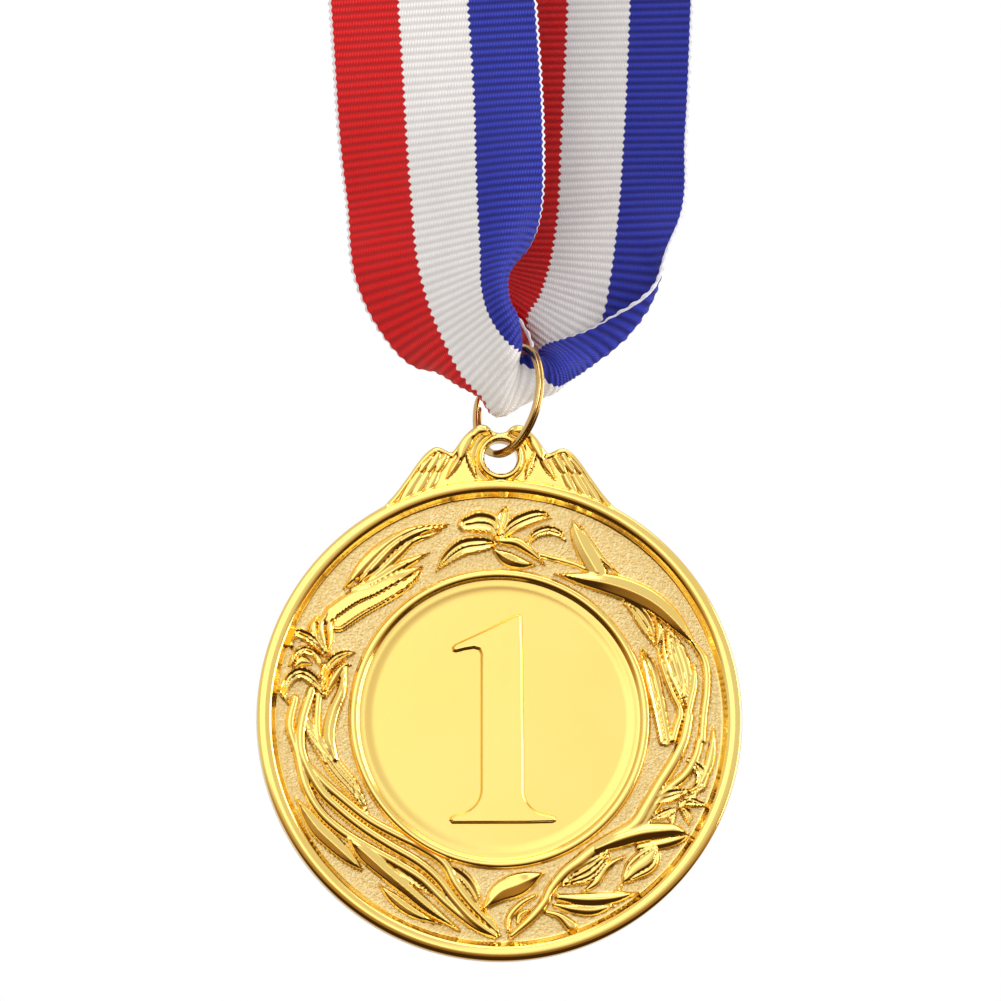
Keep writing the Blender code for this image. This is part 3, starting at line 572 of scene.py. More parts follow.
def add_blade(heights, x, z, kind, tall, spine):
    """Raises the heights under one blade where it stands higher than what is there."""
    line = curve_through(spine, 8)
    reach = line[:, 2].max() * 1.3 + 0.3
    near = (x > line[:, 0].min() - reach) & (x < line[:, 0].max() + reach)
    near &= (z > line[:, 1].min() - reach) & (z < line[:, 1].max() + reach)
    px = x[near]
    pz = z[near]
    best = np.full(px.shape, np.inf)
    side = np.zeros_like(px)
    for a, b in zip(line[:-1], line[1:]):
        run = b[:2] - a[:2]
        long = max(run @ run, 1e-9)
        t = np.clip(((px - a[0]) * run[0] + (pz - a[1]) * run[1]) / long, 0, 1)
        dx = px - a[0] - t * run[0]
        dz = pz - a[1] - t * run[1]
        width = np.maximum(a[2] + (b[2] - a[2]) * t, 0.03)
        away = np.hypot(dx, dz) / width
        closer = away < best
        best[closer] = away[closer]
        turn = np.sign(run[0] * dz - run[1] * dx)
        side[closer] = (turn * away)[closer]
    raised = np.where(best < 1.15, blade_height(kind, side, tall), 0.0)
    heights[near] = np.maximum(heights[near], raised)


def relief_heights(x, z):
    """The wreath above the field."""
    heights = np.zeros_like(x)
    for kind, tall, *spine in WREATH:
        add_blade(heights, x, z, kind, tall, full_spine(spine))
    return heights


def eyelet_distance(x, z):
    return np.hypot(x - EYELET[0], z - EYELET[1])


def bail_heights(x, z, edge_distance):
    """The bail's face above its plain level: a raised border, a bird on each side and the collar."""
    heights = BORDER_HEIGHT * (1 - smooth_step((edge_distance - BORDER_WIDTH) / 0.18))
    for kind, tall, *spine in BAIL_BLADES:
        mirrored = [(2 * EYELET[0] - px, pz, width) for px, pz, width in spine]
        add_blade(heights, x, z, kind, tall, spine)
        add_blade(heights, x, z, kind, tall, mirrored)
    out = eyelet_distance(x, z)
    collar = (out - EYELET_R) / (COLLAR_R - EYELET_R)
    bead = (BAIL_Y - COLLAR_Y) * np.sqrt(np.clip(1 - (2 * collar - 1) ** 2, 0, 1))
    moat = -0.12 * np.exp(-(((out - COLLAR_R - 0.18) / 0.14) ** 2))
    heights = np.where(out < COLLAR_R + MOAT_WIDTH, heights + moat, heights)
    return np.where(out > COLLAR_R, heights, bead)


def grain(x, z):
    """A repeatable fine noise in -1..1, about one grain per pitch."""
    cell = np.floor(x / GRAIN_PITCH) * 127.1 + np.floor(z / GRAIN_PITCH) * 311.7
    value = np.sin(cell + 74.7) * 43758.5453
    return 2 * (value - np.floor(value)) - 1


# ======== medal casting ========


def front_radii():
    """The radii of the front's full rings."""
    centre = [1.5, 4, 7, 10, 12, 13.2, 13.85, 13.95, 14.3, 14.62]
    bead = [SATIN_OUT_R, 14.78, 14.85, 14.92, 14.98, 15.06, 15.15, 15.25]
    bead += [15.35, 15.45, 15.55, 15.63, 15.70, 15.78, 15.86]
    field = list(np.arange(FIELD_IN_R, FIELD_OUT_R + 0.01, FIELD_STEP))
    rim = [23.52, 23.66, 23.8, 23.94, 24.08, 24.17, 24.26, 24.38]
    rim += [24.5, 24.62, 24.75, 24.87, 24.95, 25.05, SHELL_R]
    return centre + bead + field + rim


def medal_columns():
    """Angles from the top, finer under the bail."""
    bail = np.arange(-BAIL_HALF_DEG, BAIL_HALF_DEG + 1e-6, BAIL_STEP_DEG)
    count = round((360 - 2 * BAIL_HALF_DEG) / TURN_STEP_DEG)
    rest = np.linspace(BAIL_HALF_DEG, 360 - BAIL_HALF_DEG, count + 1)[1:-1]
    return np.concatenate([bail, rest])


def outline_radius(degrees):
    """The medal's outline: the disc's edge, and the bail's outline near the top."""
    outline = curve_through(BAIL_OUTLINE, 12)
    return np.maximum(np.interp(np.abs(degrees), outline[:, 0], outline[:, 1]), DISC_R)


def face_y(radius):
    radii, heights = np.array(FACE_PROFILE).T
    return np.interp(radius, radii, heights)


class Casting:
    """The casting's points and faces, gathered in rows round the disc. All rows share their columns."""

    def __init__(self):
        degrees = medal_columns()
        turn = np.radians(degrees)
        self.sine = np.sin(turn)
        self.cosine = np.cos(turn)
        self.count = len(degrees)
        self.outline = outline_radius(np.where(degrees > 180, degrees - 360, degrees))
        self.in_bail = self.outline > DISC_R + 1e-6
        self.points = []
        self.frosted = []
        self.satin = []
        self.faces = []

    def place(self, radius):
        return radius * self.sine, radius * self.cosine

    def bail_radius(self, j):
        """Radii of the bail's row j: 0 at the shell, BAIL_ROWS at the end of its flat face."""
        return SHELL_R + (self.outline - EDGE_IN - SHELL_R) * j / BAIL_ROWS

    def add_point(self, point, frost=0.0, satin=0.0):
        self.points.append(point)
        self.frosted.append(frost)
        self.satin.append(satin)
        return len(self.points) - 1

    def add_row(self, radius, y, frost=0.0, satin=0.0, shared=None):
        """One row of points. Columns outside the bail repeat the shared row's points, if there is one."""
        x, z = self.place(radius)
        y = np.broadcast_to(y, self.count)
        frost = np.broadcast_to(frost, self.count)
        row = np.empty(self.count, int)
        for k in range(self.count):
            if shared is not None and not self.in_bail[k]:
                row[k] = shared[k]
            else:
                row[k] = self.add_point((x[k], y[k], z[k]), frost[k], satin)
        return row

    def join(self, first, second, keep=None):
        """Faces between two rows, in all columns or in those to keep."""
        first = np.append(first, first[0])
        second = np.append(second, second[0])
        if keep is None:
            self.faces += quads(first, second)
            return
        for k in np.flatnonzero(keep):
            self.faces += quads(first[k : k + 2], second[k : k + 2])

    def from_eyelet(self, row):
        return np.array([eyelet_distance(self.points[i][0], self.points[i][2]) for i in row])

    def eyelet_angle(self, i):
        return math.atan2(self.points[i][0] - EYELET[0], self.points[i][2] - EYELET[1])


def add_front(casting):
    """The turned face from the middle out to the shell, with the wreath and the grain on the field."""
    centre = casting.add_point((0.0, CENTRE_Y, 0.0), satin=1.0)
    previous = np.full(casting.count, centre)
    for radius in front_radii():
        y = face_y(radius)
        frost = 0.0
        if FIELD_IN_R <= radius <= FIELD_OUT_R + 0.01:
            x, z = casting.place(radius)
            raised = relief_heights(x, z)
            fade = np.clip((radius - FIELD_IN_R) / GRAIN_FADE, 0, 1)
            fade *= np.clip((FIELD_OUT_R - radius) / GRAIN_FADE, 0, 1)
            grainy = GRAIN_HEIGHT * grain(x, z) * fade
            y = y - raised + np.where(raised > 0.02, 0, grainy)
            y = np.maximum(y, RIM_Y + 0.02)
            frost = 1 - smooth_step(raised / 0.08)
        row = casting.add_row(radius, y, frost, 1.0 if radius < SATIN_OUT_R else 0.0)
        casting.join(previous, row)
        previous = row
    return previous


def add_bail_front(casting, shell):
    """Rows from the disc's shell up to the end of the bail's face."""
    rows = [shell]
    shell_y = face_y(SHELL_R)
    for j in range(1, BAIL_ROWS + 1):
        radius = casting.bail_radius(j)
        lift = bail_heights(*casting.place(radius), np.abs(casting.outline - radius))
        rise = smooth_step((radius - SHELL_R) / BAIL_RISE)
        y = shell_y + (BAIL_Y - lift - shell_y) * rise
        rows.append(casting.add_row(radius, y, shared=shell))
    return rows


def add_edge(casting, front):
    """The rounded edge all round, from the front's last row to the back. Returns the back's first row."""
    front_y = np.where(casting.in_bail, [casting.points[i][1] for i in front], face_y(SHELL_R))
    back_y = np.where(casting.in_bail, BAIL_BACK_Y, 0.0)
    middle_y = (front_y + FRONT_EDGE_DROP + back_y - BACK_EDGE_DROP) / 2
    sections = (
        (0.18, front_y + 0.05),
        (0.06, front_y + 0.16),
        (0.0, front_y + FRONT_EDGE_DROP),
        (0.0, middle_y),
        (0.0, back_y - BACK_EDGE_DROP),
        (0.08, back_y - 0.12),
        (EDGE_IN, back_y),
    )
    previous = front
    for inset, y in sections:
        row = casting.add_row(casting.outline - inset, y)
        casting.join(previous, row)
        previous = row
    return previous


def add_bail_back(casting, outer):
    rows = [outer]
    for j in range(BAIL_ROWS - 1, -1, -1):
        rows.append(casting.add_row(casting.bail_radius(j), BAIL_BACK_Y, 0.0, 0.3, outer))
    return rows


def join_round_eyelet(casting, rows):
    """Joins the bail's rows except inside the eyelet, whose border it snaps to a circle and returns."""
    border = set()
    for first, second in zip(rows[:-1], rows[1:]):
        out = casting.from_eyelet(first)
        out_next = casting.from_eyelet(second)
        keep = (out + np.roll(out, -1) + out_next + np.roll(out_next, -1)) / 4 > EYELET_R
        casting.join(first, second, keep)
        for k in np.flatnonzero(~keep):
            n = (k + 1) % casting.count
            corners = [int(i) for i in (first[k], first[n], second[n], second[k])]
            for a, b in zip(corners, corners[1:] + corners[:1]):
                if (b, a) in border:
                    border.remove((b, a))
                else:
                    border.add((a, b))
    loop = {a for a, b in border}
    for i in loop:
        x, y, z = casting.points[i]
        away = unit((x - EYELET[0], z - EYELET[1])) * EYELET_R
        casting.points[i] = (EYELET[0] + away[0], y, EYELET[1] + away[1])
    return sorted(loop, key=casting.eyelet_angle)


def add_back(casting, outer):
    previous = outer
    for radius, y in BACK_PROFILE:
        row = casting.add_row(radius, y, 0.5 if y < 0 else 0.0, 0.6)
        casting.join(previous, row)
        previous = row
    pole = casting.add_point((0.0, 0.0, 0.0), satin=0.6)
    casting.join(previous, np.full(casting.count, pole))


def add_hole_wall(casting, front, back):
    """The eyelet's wall between the border circles of the front and the back."""
    rows = [front]
    for y in HOLE_ROW_YS:
        row = []
        for k in range(HOLE_STEPS):
            turn = -math.pi + 2 * math.pi * (k + 0.5) / HOLE_STEPS
            x = EYELET[0] + EYELET_R * math.sin(turn)
            z = EYELET[1] + EYELET_R * math.cos(turn)
            row.append(casting.add_point((x, y, z), satin=0.3))
        rows.append(row)
    rows.append(back)
    for first, second in zip(rows[:-1], rows[1:]):
        stitch(casting, first, second)


def stitch(casting, first, second):
    """Triangles between two loops with different counts, both ordered by angle round the eyelet."""
    first_turns = [casting.eyelet_angle(i) for i in first]
    second_turns = [casting.eyelet_angle(i) for i in second]
    first_turns.append(first_turns[0] + 2 * math.pi)
    second_turns.append(second_turns[0] + 2 * math.pi)
    i = j = 0
    while i < len(first) or j < len(second):
        here = first[i % len(first)]
        there = second[j % len(second)]
        if j >= len(second) or (i < len(first) and first_turns[i + 1] <= second_turns[j + 1]):
            casting.faces.append((here, first[(i + 1) % len(first)], there))
            i += 1
        else:
            casting.faces.append((here, second[(j + 1) % len(second)], there))
            j += 1


def make_casting(mat):
    casting = Casting()
    shell = add_front(casting)
    bail_front = add_bail_front(casting, shell)
    outer_back = add_edge(casting, bail_front[-1])
    bail_back = add_bail_back(casting, outer_back)
    front_hole = join_round_eyelet(casting, bail_front)
    back_hole = join_round_eyelet(casting, bail_back)
    add_back(casting, bail_back[-1])
    add_hole_wall(casting, front_hole, back_hole)
    looks = {"frosted": casting.frosted, "satin": casting.satin}
    return make_object("medal_casting", casting.points, casting.faces, mat, math.radians(50), looks)


# ======== numeral ========


def arc(centre, radius, start, end, steps):
    points = []
    for k in range(steps + 1):
        turn = math.radians(start + (end - start) * k / steps)
        points.append((centre[0] + radius * math.cos(turn), centre[1] + radius * math.sin(turn)))
    return points


def numeral_outline():
    """From the top right corner round to the left, with arcs where the stem meets the foot."""
    outline = [(2.35, 10.95), (2.05, 11.1), (1.5, 10.95)]
    outline += [(-1.5, 9.41), (-4.75, 7.87), (-5.05, 7.56), (-4.95, 7.1), (-4.6, 7.0)]
    outline += [(-3.6, 7.26), (-2.7, 7.41), (-2.2, 7.26), (-2.0, 6.8)]
    outline += [(-2.0, 1.77), (-2.0, -3.35), (-2.0, -7.35)]
    outline += arc((-4.6, -7.4), 2.6, -6, -84, 9)
    outline += [(-4.8, -10.17), (-5.2, -10.37), (-5.3, -10.73), (-5.0, -11.09)]
    outline += [(-1.0, -11.06), (3.0, -11.02), (5.6, -10.94), (5.95, -10.73), (5.9, -10.32), (5.6, -10.17)]
    outline += arc((5.2, -7.4), 2.65, -96, -174, 9)
    outline += [(2.56, -3.35), (2.5, 1.77), (2.45, 6.9)]
    return np.array(outline)


def make_numeral(mat):
    """The raised numeral, with a bevel all round."""
    outline = numeral_outline()
    ahead = np.roll(outline, -1, axis=0) - outline
    behind = outline - np.roll(outline, 1, axis=0)
    inward = []
    for a, b in zip(behind, ahead):
        na = unit((-a[1], a[0]))
        nb = unit((-b[1], b[0]))
        middle = unit(na + nb)
        inward.append(middle / max(middle @ na, 0.5))
    points = []
    rows = []
    for inset, y in NUMERAL_WALL:
        ring = outline + np.array(inward) * inset
        row = np.arange(len(points), len(points) + len(ring))
        rows.append(np.append(row, row[0]))
        points += [(x, y, z) for x, z in ring]
    faces = []
    for first, second in zip(rows[:-1], rows[1:]):
        faces += quads(first, second)
    faces.append(tuple(int(i) for i in rows[-1][:-1]))
    faces.append(tuple(int(i) for i in rows[0][-2::-1]))
    wall = len(points) - len(outline)
    looks = {"frosted": [0.0] * len(points), "satin": [0.0] * wall + [0.8] * len(outline)}
    return make_object("numeral", points, faces, mat, math.radians(28), looks)


def make_medal():
    """The casting and its numeral, joined into one piece."""
    mat = gold_material()
    medal = make_casting(mat)
    numeral = make_numeral(mat)
    with bpy.context.temp_override(active_object=medal, selected_editable_objects=[medal, numeral]):
        bpy.ops.object.join()
    show_for(medal, "medal", "medal_body")


# ======== split ring ========

RING_E = np.array((math.cos(RING_TURN), -math.sin(RING_TURN), 0.0))


def ring_up():
    """The direction in the ring's plane from the eyelet to the ribbon: up, leaning to the right."""
    lean = np.array((math.sin(RING_LEAN), 0.0, math.cos(RING_LEAN)))
    across = np.cross(RING_E, lean)
    return unit(np.cross(across, RING_E))


RING_F = ring_up()
RING_N = np.cross(RING_E, RING_F)
RING_CENTRE = WIRE_AT_EYELET + RING_MEAN_R * RING_F
RIBBON_BEARING = RING_CENTRE + (RING_MEAN_R - WIRE_RADIAL / 2) * RING_F


def make_split_ring():
    """Flattened wire wound two turns, which cross over at the joggle."""
    start = JOGGLE_CENTRE + JOGGLE_HALF
    total = 4 * math.pi - 2 * JOGGLE_HALF
    count = round(total / COIL_STEP)
    points = []
    for k in range(count + 1):
        angle = start + total * k / count
        past = (angle - start) - (2 * math.pi - 2 * JOGGLE_HALF)
        side = TURN_PITCH * (float(smooth_step(past / (2 * JOGGLE_HALF))) - 0.5)
        out = math.cos(angle) * RING_E + math.sin(angle) * RING_F
        taper = 1.0 - 0.35 * (1 - min(1.0, min(k, count - k) / 2.0)) ** 2
        for s in range(WIRE_SIDES):
            turn = 2 * math.pi * s / WIRE_SIDES
            c = math.cos(turn)
            d = math.sin(turn)
            bulge = (abs(c) ** WIRE_SQUARENESS + abs(d) ** WIRE_SQUARENESS) ** (-1 / WIRE_SQUARENESS)
            radius = RING_MEAN_R + c * bulge * taper * WIRE_RADIAL / 2
            shift = side + d * bulge * taper * WIRE_AXIAL / 2
            points.append(RING_CENTRE + radius * out + shift * RING_N)
    faces = tube_faces(count + 1, WIRE_SIDES)
    ring = make_object("split_ring_wire", points, faces, ring_material(), math.radians(50))
    show_for(ring, "split_ring", "split_ring")


# ======== ribbon ========

# A station of the ribbon: the middle of its width, the direction across it towards the blue edge,
# the direction its outer face looks, and how each half curls back: the angle turned, and where
# the turn starts and its length (millimetres from the middle).
FLAT = (0, 3, 8)


def station(centre, across, out, blue=FLAT, red=FLAT):
    return np.array([*centre, *across, *out, *blue, *red], float)


def leg_middle(z, foot_x, foot_slope, top_slope, foot_y, top_y):
    """The middle of a leg above the gather: it leans out, bows and comes back to the middle on top."""
    rise = LEG_TOP_Z - LEG_FOOT_Z
    t = (z - LEG_FOOT_Z) / rise
    x = (2 * t**3 - 3 * t**2 + 1) * foot_x
    x += (t**3 - 2 * t**2 + t) * rise * foot_slope + (t**3 - t**2) * rise * top_slope
    return x, foot_y + (top_y - foot_y) * t


def front_leg(z):
    return leg_middle(z, *FRONT_LEG, -LEG_TOP_Y)


def back_leg(z):
    return leg_middle(z, *BACK_LEG, LEG_TOP_Y)


def leg_station(leg, z, out, lift=0.0, yaw=0.0):
    x, y = leg(z)
    slope = leg(z + 0.5)[0] - leg(z - 0.5)[0]
    return station((x, y + lift, z), unit((1.0, -yaw, -slope)), (0, out, 0))


def hanger_bend():
    """Over the hanger: a flat stretch between two quarter bends, each with a station at its middle."""
    slant = 0.71
    side = HANGER_FLAT_HALF + slant * HANGER_BEND
    low = RIBBON_TOP_Z - (1 - slant) * HANGER_BEND
    return [
        station((0, side, low), (1, 0, 0), (0, 0.7, 0.7)),
        station((0, HANGER_FLAT_HALF, RIBBON_TOP_Z), (1, 0, 0), (0, 0, 1)),
        station((0, -HANGER_FLAT_HALF, RIBBON_TOP_Z), (1, 0, 0), (0, 0, 1)),
        station((0, -side, low), (1, 0, 0), (0, -0.7, 0.7)),
    ]


def gather_through_ring():
    """The front leg curls into a tube through the ring, and unrolls behind it over a slanting fold."""
    in_ring = RIBBON_BEARING + 0.5 * RING_E - 5.03 * RING_F
    in_ring_across = 0.46 * RING_E + 0.89 * RING_F
    in_ring_out = 0.89 * RING_E - 0.46 * RING_F
    past_ring = RIBBON_BEARING + 0.55 * RING_E - 4.7 * RING_F - 2.6 * RING_N
    past_ring_across = 0.95 * RING_E + 0.1 * RING_F
    past_ring_out = 0.1 * RING_E - 0.95 * RING_F - 0.3 * RING_N
    return [
        station((-6.5, -3.3, 66.0), (0.99, -0.1, 0.08), (0, -1, 0), (15, 4, 7)),
        station((-6.0, -3.2, 57.0), (0.93, -0.35, 0.10), (0, -1, 0), (35, 3, 8)),
        station((-5.3, -3.3, 48.5), (0.84, -0.5, 0.16), (0, -1, 0), (105, 3.2, 7.5), (-8, 0.5, 6)),
        station((-4.6, -3.6, 44.3), (0.68, -0.68, 0.25), (0, -1, -0.05), (165, 3.6, 5.5), (0, 3, 8)),
        station((-3.4, -3.9, 40.9), (0.56, -0.74, 0.35), (0, -1, -0.1), (185, 4.0, 4.6), (35, 3.5, 7.5)),
        station((-1.8, -3.8, 38.1), (0.53, -0.7, 0.47), (0, -0.95, -0.3), (195, 3.2, 6.0), (120, 2.6, 7.6)),
        station((0.1, -2.9, 36.0), (0.47, -0.66, 0.55), (0, -0.75, -0.6), (200, 0.8, 8.2), (170, 1.6, 7.2)),
        station(in_ring, in_ring_across, in_ring_out, (188, 0.2, 9.2), (194, 0.35, 6.8)),
        station(past_ring, past_ring_across, past_ring_out, (195, 0.5, 9), (162, 0.6, 7.4)),
        station((5.8, 1.5, 37.82), (0.5, -0.6, -0.6), (0.2, 0.75, -0.55), (205, 1, 8.2), (70, 2, 8)),
        station((6.1, 2.4, 41.2), (0.75, -0.2, -0.6), (0.1, 1, -0.1), (200, 3.2, 6), (20, 3, 8)),
        station((7.7, 2.6, 44.0), (0.84, -0.25, -0.40), (0, 1, 0), (185, 5.4, 4.5)),
        station((8.8, 2.6, 48.0), (0.84, -0.45, -0.18), (0, 1, 0), (80, 7.5, 3.5)),
        station((9.6, 2.9, 53.0), (0.84, -0.52, -0.05), (0, 1, 0)),
        station((10.3, 3.4, 63.0), (0.87, -0.48, -0.06), (0, 1, 0)),
    ]


def ribbon_stations():
    """From the inner end in the seam, up and over the hanger, down through the ring, back to the seam."""
    rows = [leg_station(back_leg, z, 1) for z in (SEAM_LOW_Z, SEAM_HIGH_Z, 375, LEG_TOP_Z)]
    rows += hanger_bend()
    rows += [leg_station(front_leg, z, -1) for z in (LEG_TOP_Z, *FRONT_LEG_HEIGHTS)]
    rows += gather_through_ring()
    rows += [leg_station(back_leg, z, 1, yaw=yaw) for z, yaw in BACK_LEG_YAW]
    rows += [leg_station(back_leg, z, 1, SEAM_LIFT) for z in (SEAM_LOW_Z - 1, SEAM_LOW_Z, SEAM_HIGH_Z)]
    return np.array(rows)


def path_lengths(points):
    steps = np.linalg.norm(np.diff(points, axis=0), axis=1)
    return np.concatenate([[0.0], np.cumsum(steps)])


def interpolate(rows, lengths, at):
    """Smooth values between the stations, as cubic pieces with shared slopes."""
    gaps = np.diff(lengths)[:, None]
    slopes = np.diff(rows, axis=0) / gaps
    tangents = np.empty_like(rows)
    tangents[0] = slopes[0]
    tangents[-1] = slopes[-1]
    tangents[1:-1] = (slopes[:-1] * gaps[1:] + slopes[1:] * gaps[:-1]) / (gaps[:-1] + gaps[1:])
    i = np.clip(np.searchsorted(lengths, at, side="right") - 1, 0, len(lengths) - 2)
    gap = gaps[i]
    t = (np.asarray(at) - lengths[i])[:, None] / gap
    value = (2 * t**3 - 3 * t**2 + 1) * rows[i] + (3 * t**2 - 2 * t**3) * rows[i + 1]
    return value + (t**3 - 2 * t**2 + t) * gap * tangents[i] + (t**3 - t**2) * gap * tangents[i + 1]


def section_points(row, widths):
    """The middle surface at one station, at distances from the middle of the width (blue positive)."""
    across = unit(row[3:6])
    out = unit(row[6:9] - across * (row[6:9] @ across))
    fine = np.linspace(0.0, CURL_REACH, CURL_STEPS + 1)
    step = fine[1]
    points = np.empty((len(widths), 3))
    for sign, (turn, start, span) in ((1, row[9:12]), (-1, row[12:15])):
        share = np.clip((fine - start) / max(span, 0.1), 0.0, 1.0)
        angle = math.radians(turn) * share * share * (3 - 2 * share)
        middle = (angle[1:] + angle[:-1]) / 2
        forward = np.concatenate([[0.0], np.cumsum(np.cos(middle)) * step])
        back = np.concatenate([[0.0], np.cumsum(np.sin(middle)) * step])
        chosen = widths * sign >= 0
        reach = np.abs(widths[chosen])
        points[chosen] = (
            row[:3]
            + sign * np.interp(reach, fine, forward)[:, None] * across
            - np.interp(reach, fine, back)[:, None] * out
        )
    return points


def ribbon_widths():
    inner = np.linspace(-INNER_HALF, INNER_HALF, INNER_COUNT)
    edge = np.array(EDGE_PLACES)
    return np.concatenate([-edge[::-1], inner, edge])


def ribbon_grid(rows, lengths, at, phase, widths):
    """The tape's middle surface, its edges waved by the loops of the weft."""
    grid = []
    for row, turn in zip(interpolate(rows, lengths, at), phase):
        looped = widths.copy()
        looped[0] -= EDGE_LOOP * math.cos(turn)
        looped[-1] += EDGE_LOOP * math.cos(turn)
        grid.append(section_points(row, looped))
    return np.array(grid)


def half_thickness(widths):
    half = np.full(len(widths), RIBBON_T / 2)
    half[[0, -1]] = RIBBON_T * 0.22
    half[[1, -2]] = RIBBON_T * 0.40
    return half


def make_ribbon():
    """The tape as one closed mesh with real ribs across it on both faces."""
    rows = ribbon_stations()
    lengths = path_lengths(rows[:, :3])
    count = int(lengths[-1] / RIB_PITCH) * RIB_STEPS
    at = np.linspace(0.0, lengths[-1], count + 1)
    phase = 2 * math.pi * at / RIB_PITCH
    widths = ribbon_widths()
    grid = ribbon_grid(rows, lengths, at, phase, widths)
    normal = np.cross(np.gradient(grid, axis=0), np.gradient(grid, axis=1))
    normal /= np.linalg.norm(normal, axis=2)[..., None]
    half = half_thickness(widths)
    ribs = RIB_HEIGHT * np.cos(phase)[:, None] * np.minimum(1.0, half / (RIBBON_T / 2))
    offset = normal * (half + ribs)[..., None]
    loops = np.concatenate([grid + offset, (grid - offset)[:, ::-1]], axis=1)
    sides = 2 * len(widths)
    looks = {
        "across": np.tile(np.concatenate([widths, widths[::-1]]), len(at)),
        "along": np.repeat(at, sides),
    }
    faces = tube_faces(len(at), sides)
    ribbon = make_object("neck_ribbon", loops.reshape(-1, 3), faces, ribbon_material(), None, looks)
    show_for(ribbon, "ribbon", "ribbon")


# ======== seam threads ========


def seam_path():
    """Two rows of stitches across the seam, joined at one side, as (x, z, arch)."""
    points = []
    middle_z = (SEAM_LOW_Z + SEAM_HIGH_Z) / 2
    stitches = round(2 * SEAM_ROW_HALF / STITCH_LENGTH)
    count = stitches * STITCH_STEPS
    for row, sign in ((-1, 1), (1, -1)):
        for k in range(count + 1):
            share = k / count
            x = sign * (2 * share - 1) * SEAM_ROW_HALF
            arch = STITCH_ARCH * math.cos(2 * math.pi * share * stitches)
            points.append((x, middle_z + row * SEAM_ROW_GAP / 2, arch))
    return points


def make_thread(name, node, side, mat):
    """A two-ply thread on one face of the seam: side 1 lies behind the lifted end, -1 before the other."""
    foot_y = RIBBON_T / 2 + RIB_HEIGHT + THREAD_R + THREAD_CLEAR + STITCH_ARCH
    lift = SEAM_LIFT if side > 0 else 0.0
    centres = []
    for x, z, arch in seam_path():
        leg_x, leg_y = back_leg(z)
        centres.append((leg_x + x, leg_y + lift + side * (foot_y + arch), z))
    centres = np.array(centres)
    lengths = path_lengths(centres)
    out = np.array((0.0, 1.0, 0.0))
    turns = 2 * math.pi * np.arange(THREAD_SIDES) / THREAD_SIDES
    points = []
    for centre, way, length in zip(centres, np.gradient(centres, axis=0), lengths):
        beside = unit(np.cross(way, out))
        for turn in turns:
            ply = 1 + PLY_DEPTH * math.cos(2 * (turn - 2 * math.pi * length / PLY_PITCH))
            points.append(centre + THREAD_R * ply * (math.cos(turn) * beside + math.sin(turn) * out))
    looks = {"along": np.repeat(lengths, THREAD_SIDES), "round": np.tile(turns, len(centres))}
    thread = make_object(name, points, tube_faces(len(centres), THREAD_SIDES), mat, None, looks)
    show_for(thread, "ribbon", node)


# ======== stage ========


def make_camera():
    """From the front, a little from the left and from below, aimed at the medal."""
    level = math.cos(CAMERA_ELEVATION)
    x = math.sin(CAMERA_AZIMUTH) * level
    y = -math.cos(CAMERA_AZIMUTH) * level
    back = Vector((x, y, math.sin(CAMERA_ELEVATION)))
    data = bpy.data.cameras.new("camera")
    data.angle = 2 * math.atan(FRAME_WIDTH / 2 / CAMERA_DISTANCE)
    camera = add_to_scene(bpy.data.objects.new("camera", data))
    camera.location = CAMERA_TARGET + back * CAMERA_DISTANCE
    camera.rotation_euler = (-back).to_track_quat("-Z", "Y").to_euler()
    bpy.context.scene.camera = camera


def area_light(name, place, target, size, power):
    data = bpy.data.lights.new(name, "AREA")
    data.shape = "RECTANGLE"
    data.size = size[0]
    data.size_y = size[1]
    data.energy = power
    light = add_to_scene(bpy.data.objects.new(name, data))
    light.location = place
    aim = Vector(target) - Vector(place)
    light.rotation_euler = aim.to_track_quat("-Z", "Y").to_euler()


def make_stage():
    """A pale floor well below, hidden from the metal's reflections, and three soft boxes."""
    half = FLOOR_HALF
    square = ((-half, -half), (half, -half), (half, half), (-half, half))
    mesh = bpy.data.meshes.new("floor")
    mesh.from_pydata([(x, y, FLOOR_Z) for x, y in square], [], [(0, 1, 2, 3)])
    mesh.materials.append(floor_material())
    floor = add_to_scene(bpy.data.objects.new("floor", mesh))
    floor.visible_glossy = False
    area_light("right_softbox", (1.1, -0.25, 0.15), (0, 0, 0.03), (0.5, 1.0), 9)
    area_light("top_softbox", (0.2, -0.5, 1.2), (0, 0, 0.05), (1.2, 0.8), 5)
    area_light("front_fill", (-0.5, -1.6, 0.5), (0, 0, 0.05), (1.4, 1.2), 4)


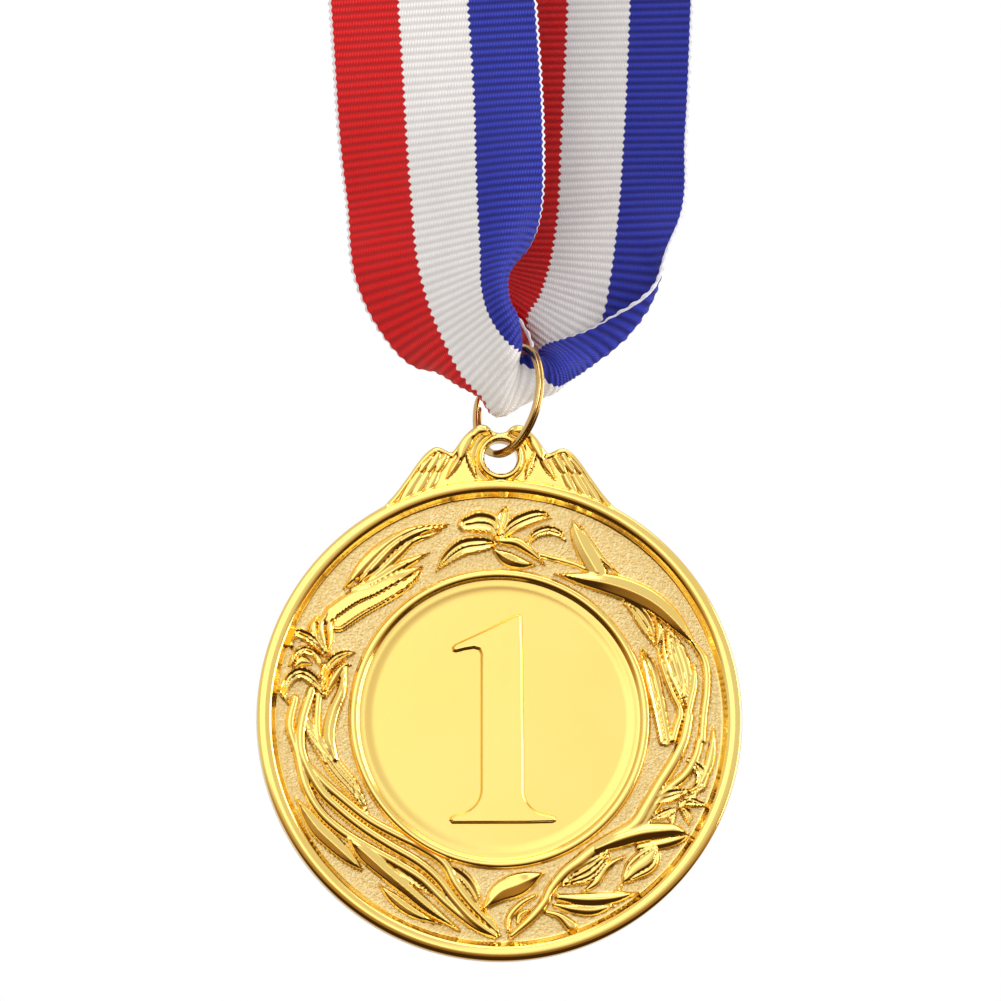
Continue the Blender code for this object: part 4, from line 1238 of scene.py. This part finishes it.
def make_world():
    """A pale studio: white to the camera, light above, and amber to dark low down for the metal to mirror."""
    world = bpy.data.worlds.new("studio")
    bpy.context.scene.world = world
    world.use_nodes = True
    nodes = world.node_tree.nodes
    links = world.node_tree.links
    split = nodes.new("ShaderNodeSeparateXYZ")
    links.new(nodes.new("ShaderNodeTexCoord").outputs["Generated"], split.inputs[0])
    height = nodes.new("ShaderNodeMapRange")
    links.new(split.outputs["Z"], height.inputs[0])
    height.inputs[1].default_value = -0.6
    height.inputs[2].default_value = 0.0
    tone = nodes.new("ShaderNodeValToRGB")
    links.new(height.outputs[0], tone.inputs[0])
    tone.color_ramp.interpolation = "EASE"
    dark, light = tone.color_ramp.elements
    dark.position = 0.1
    dark.color = (0.05, 0.025, 0.01, 1)
    light.position = 1.0
    light.color = (0.80, 0.80, 0.80, 1)
    amber = tone.color_ramp.elements.new(0.5)
    amber.color = (0.42, 0.25, 0.10, 1)
    shown = nodes.new("ShaderNodeMix")
    shown.data_type = "RGBA"
    links.new(nodes.new("ShaderNodeLightPath").outputs["Is Camera Ray"], shown.inputs[0])
    links.new(tone.outputs[0], shown.inputs[6])
    shown.inputs[7].default_value = (1.0, 1.0, 1.0, 1)
    background = nodes["Background"]
    links.new(shown.outputs[2], background.inputs["Color"])
    background.inputs["Strength"].default_value = 1.0


# ======== build ========


def corners(box):
    return [list(map(float, box[0])), list(map(float, box[1]))]


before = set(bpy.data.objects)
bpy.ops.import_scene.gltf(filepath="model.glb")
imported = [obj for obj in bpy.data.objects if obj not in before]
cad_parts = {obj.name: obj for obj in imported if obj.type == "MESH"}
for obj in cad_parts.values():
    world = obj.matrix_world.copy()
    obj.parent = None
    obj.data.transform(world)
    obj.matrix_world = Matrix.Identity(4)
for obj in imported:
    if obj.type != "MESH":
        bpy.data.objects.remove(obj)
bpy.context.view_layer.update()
make_medal()
make_split_ring()
make_ribbon()
white = thread_material()
make_thread("needle_stitches", "seam_needle_thread", 1, white)
make_thread("bobbin_stitches", "seam_bobbin_thread", -1, white)
make_stage()
make_world()
make_camera()
# The default transform greys the white backdrop and dulls the gold and the stripes.
bpy.context.scene.view_settings.view_transform = "Standard"
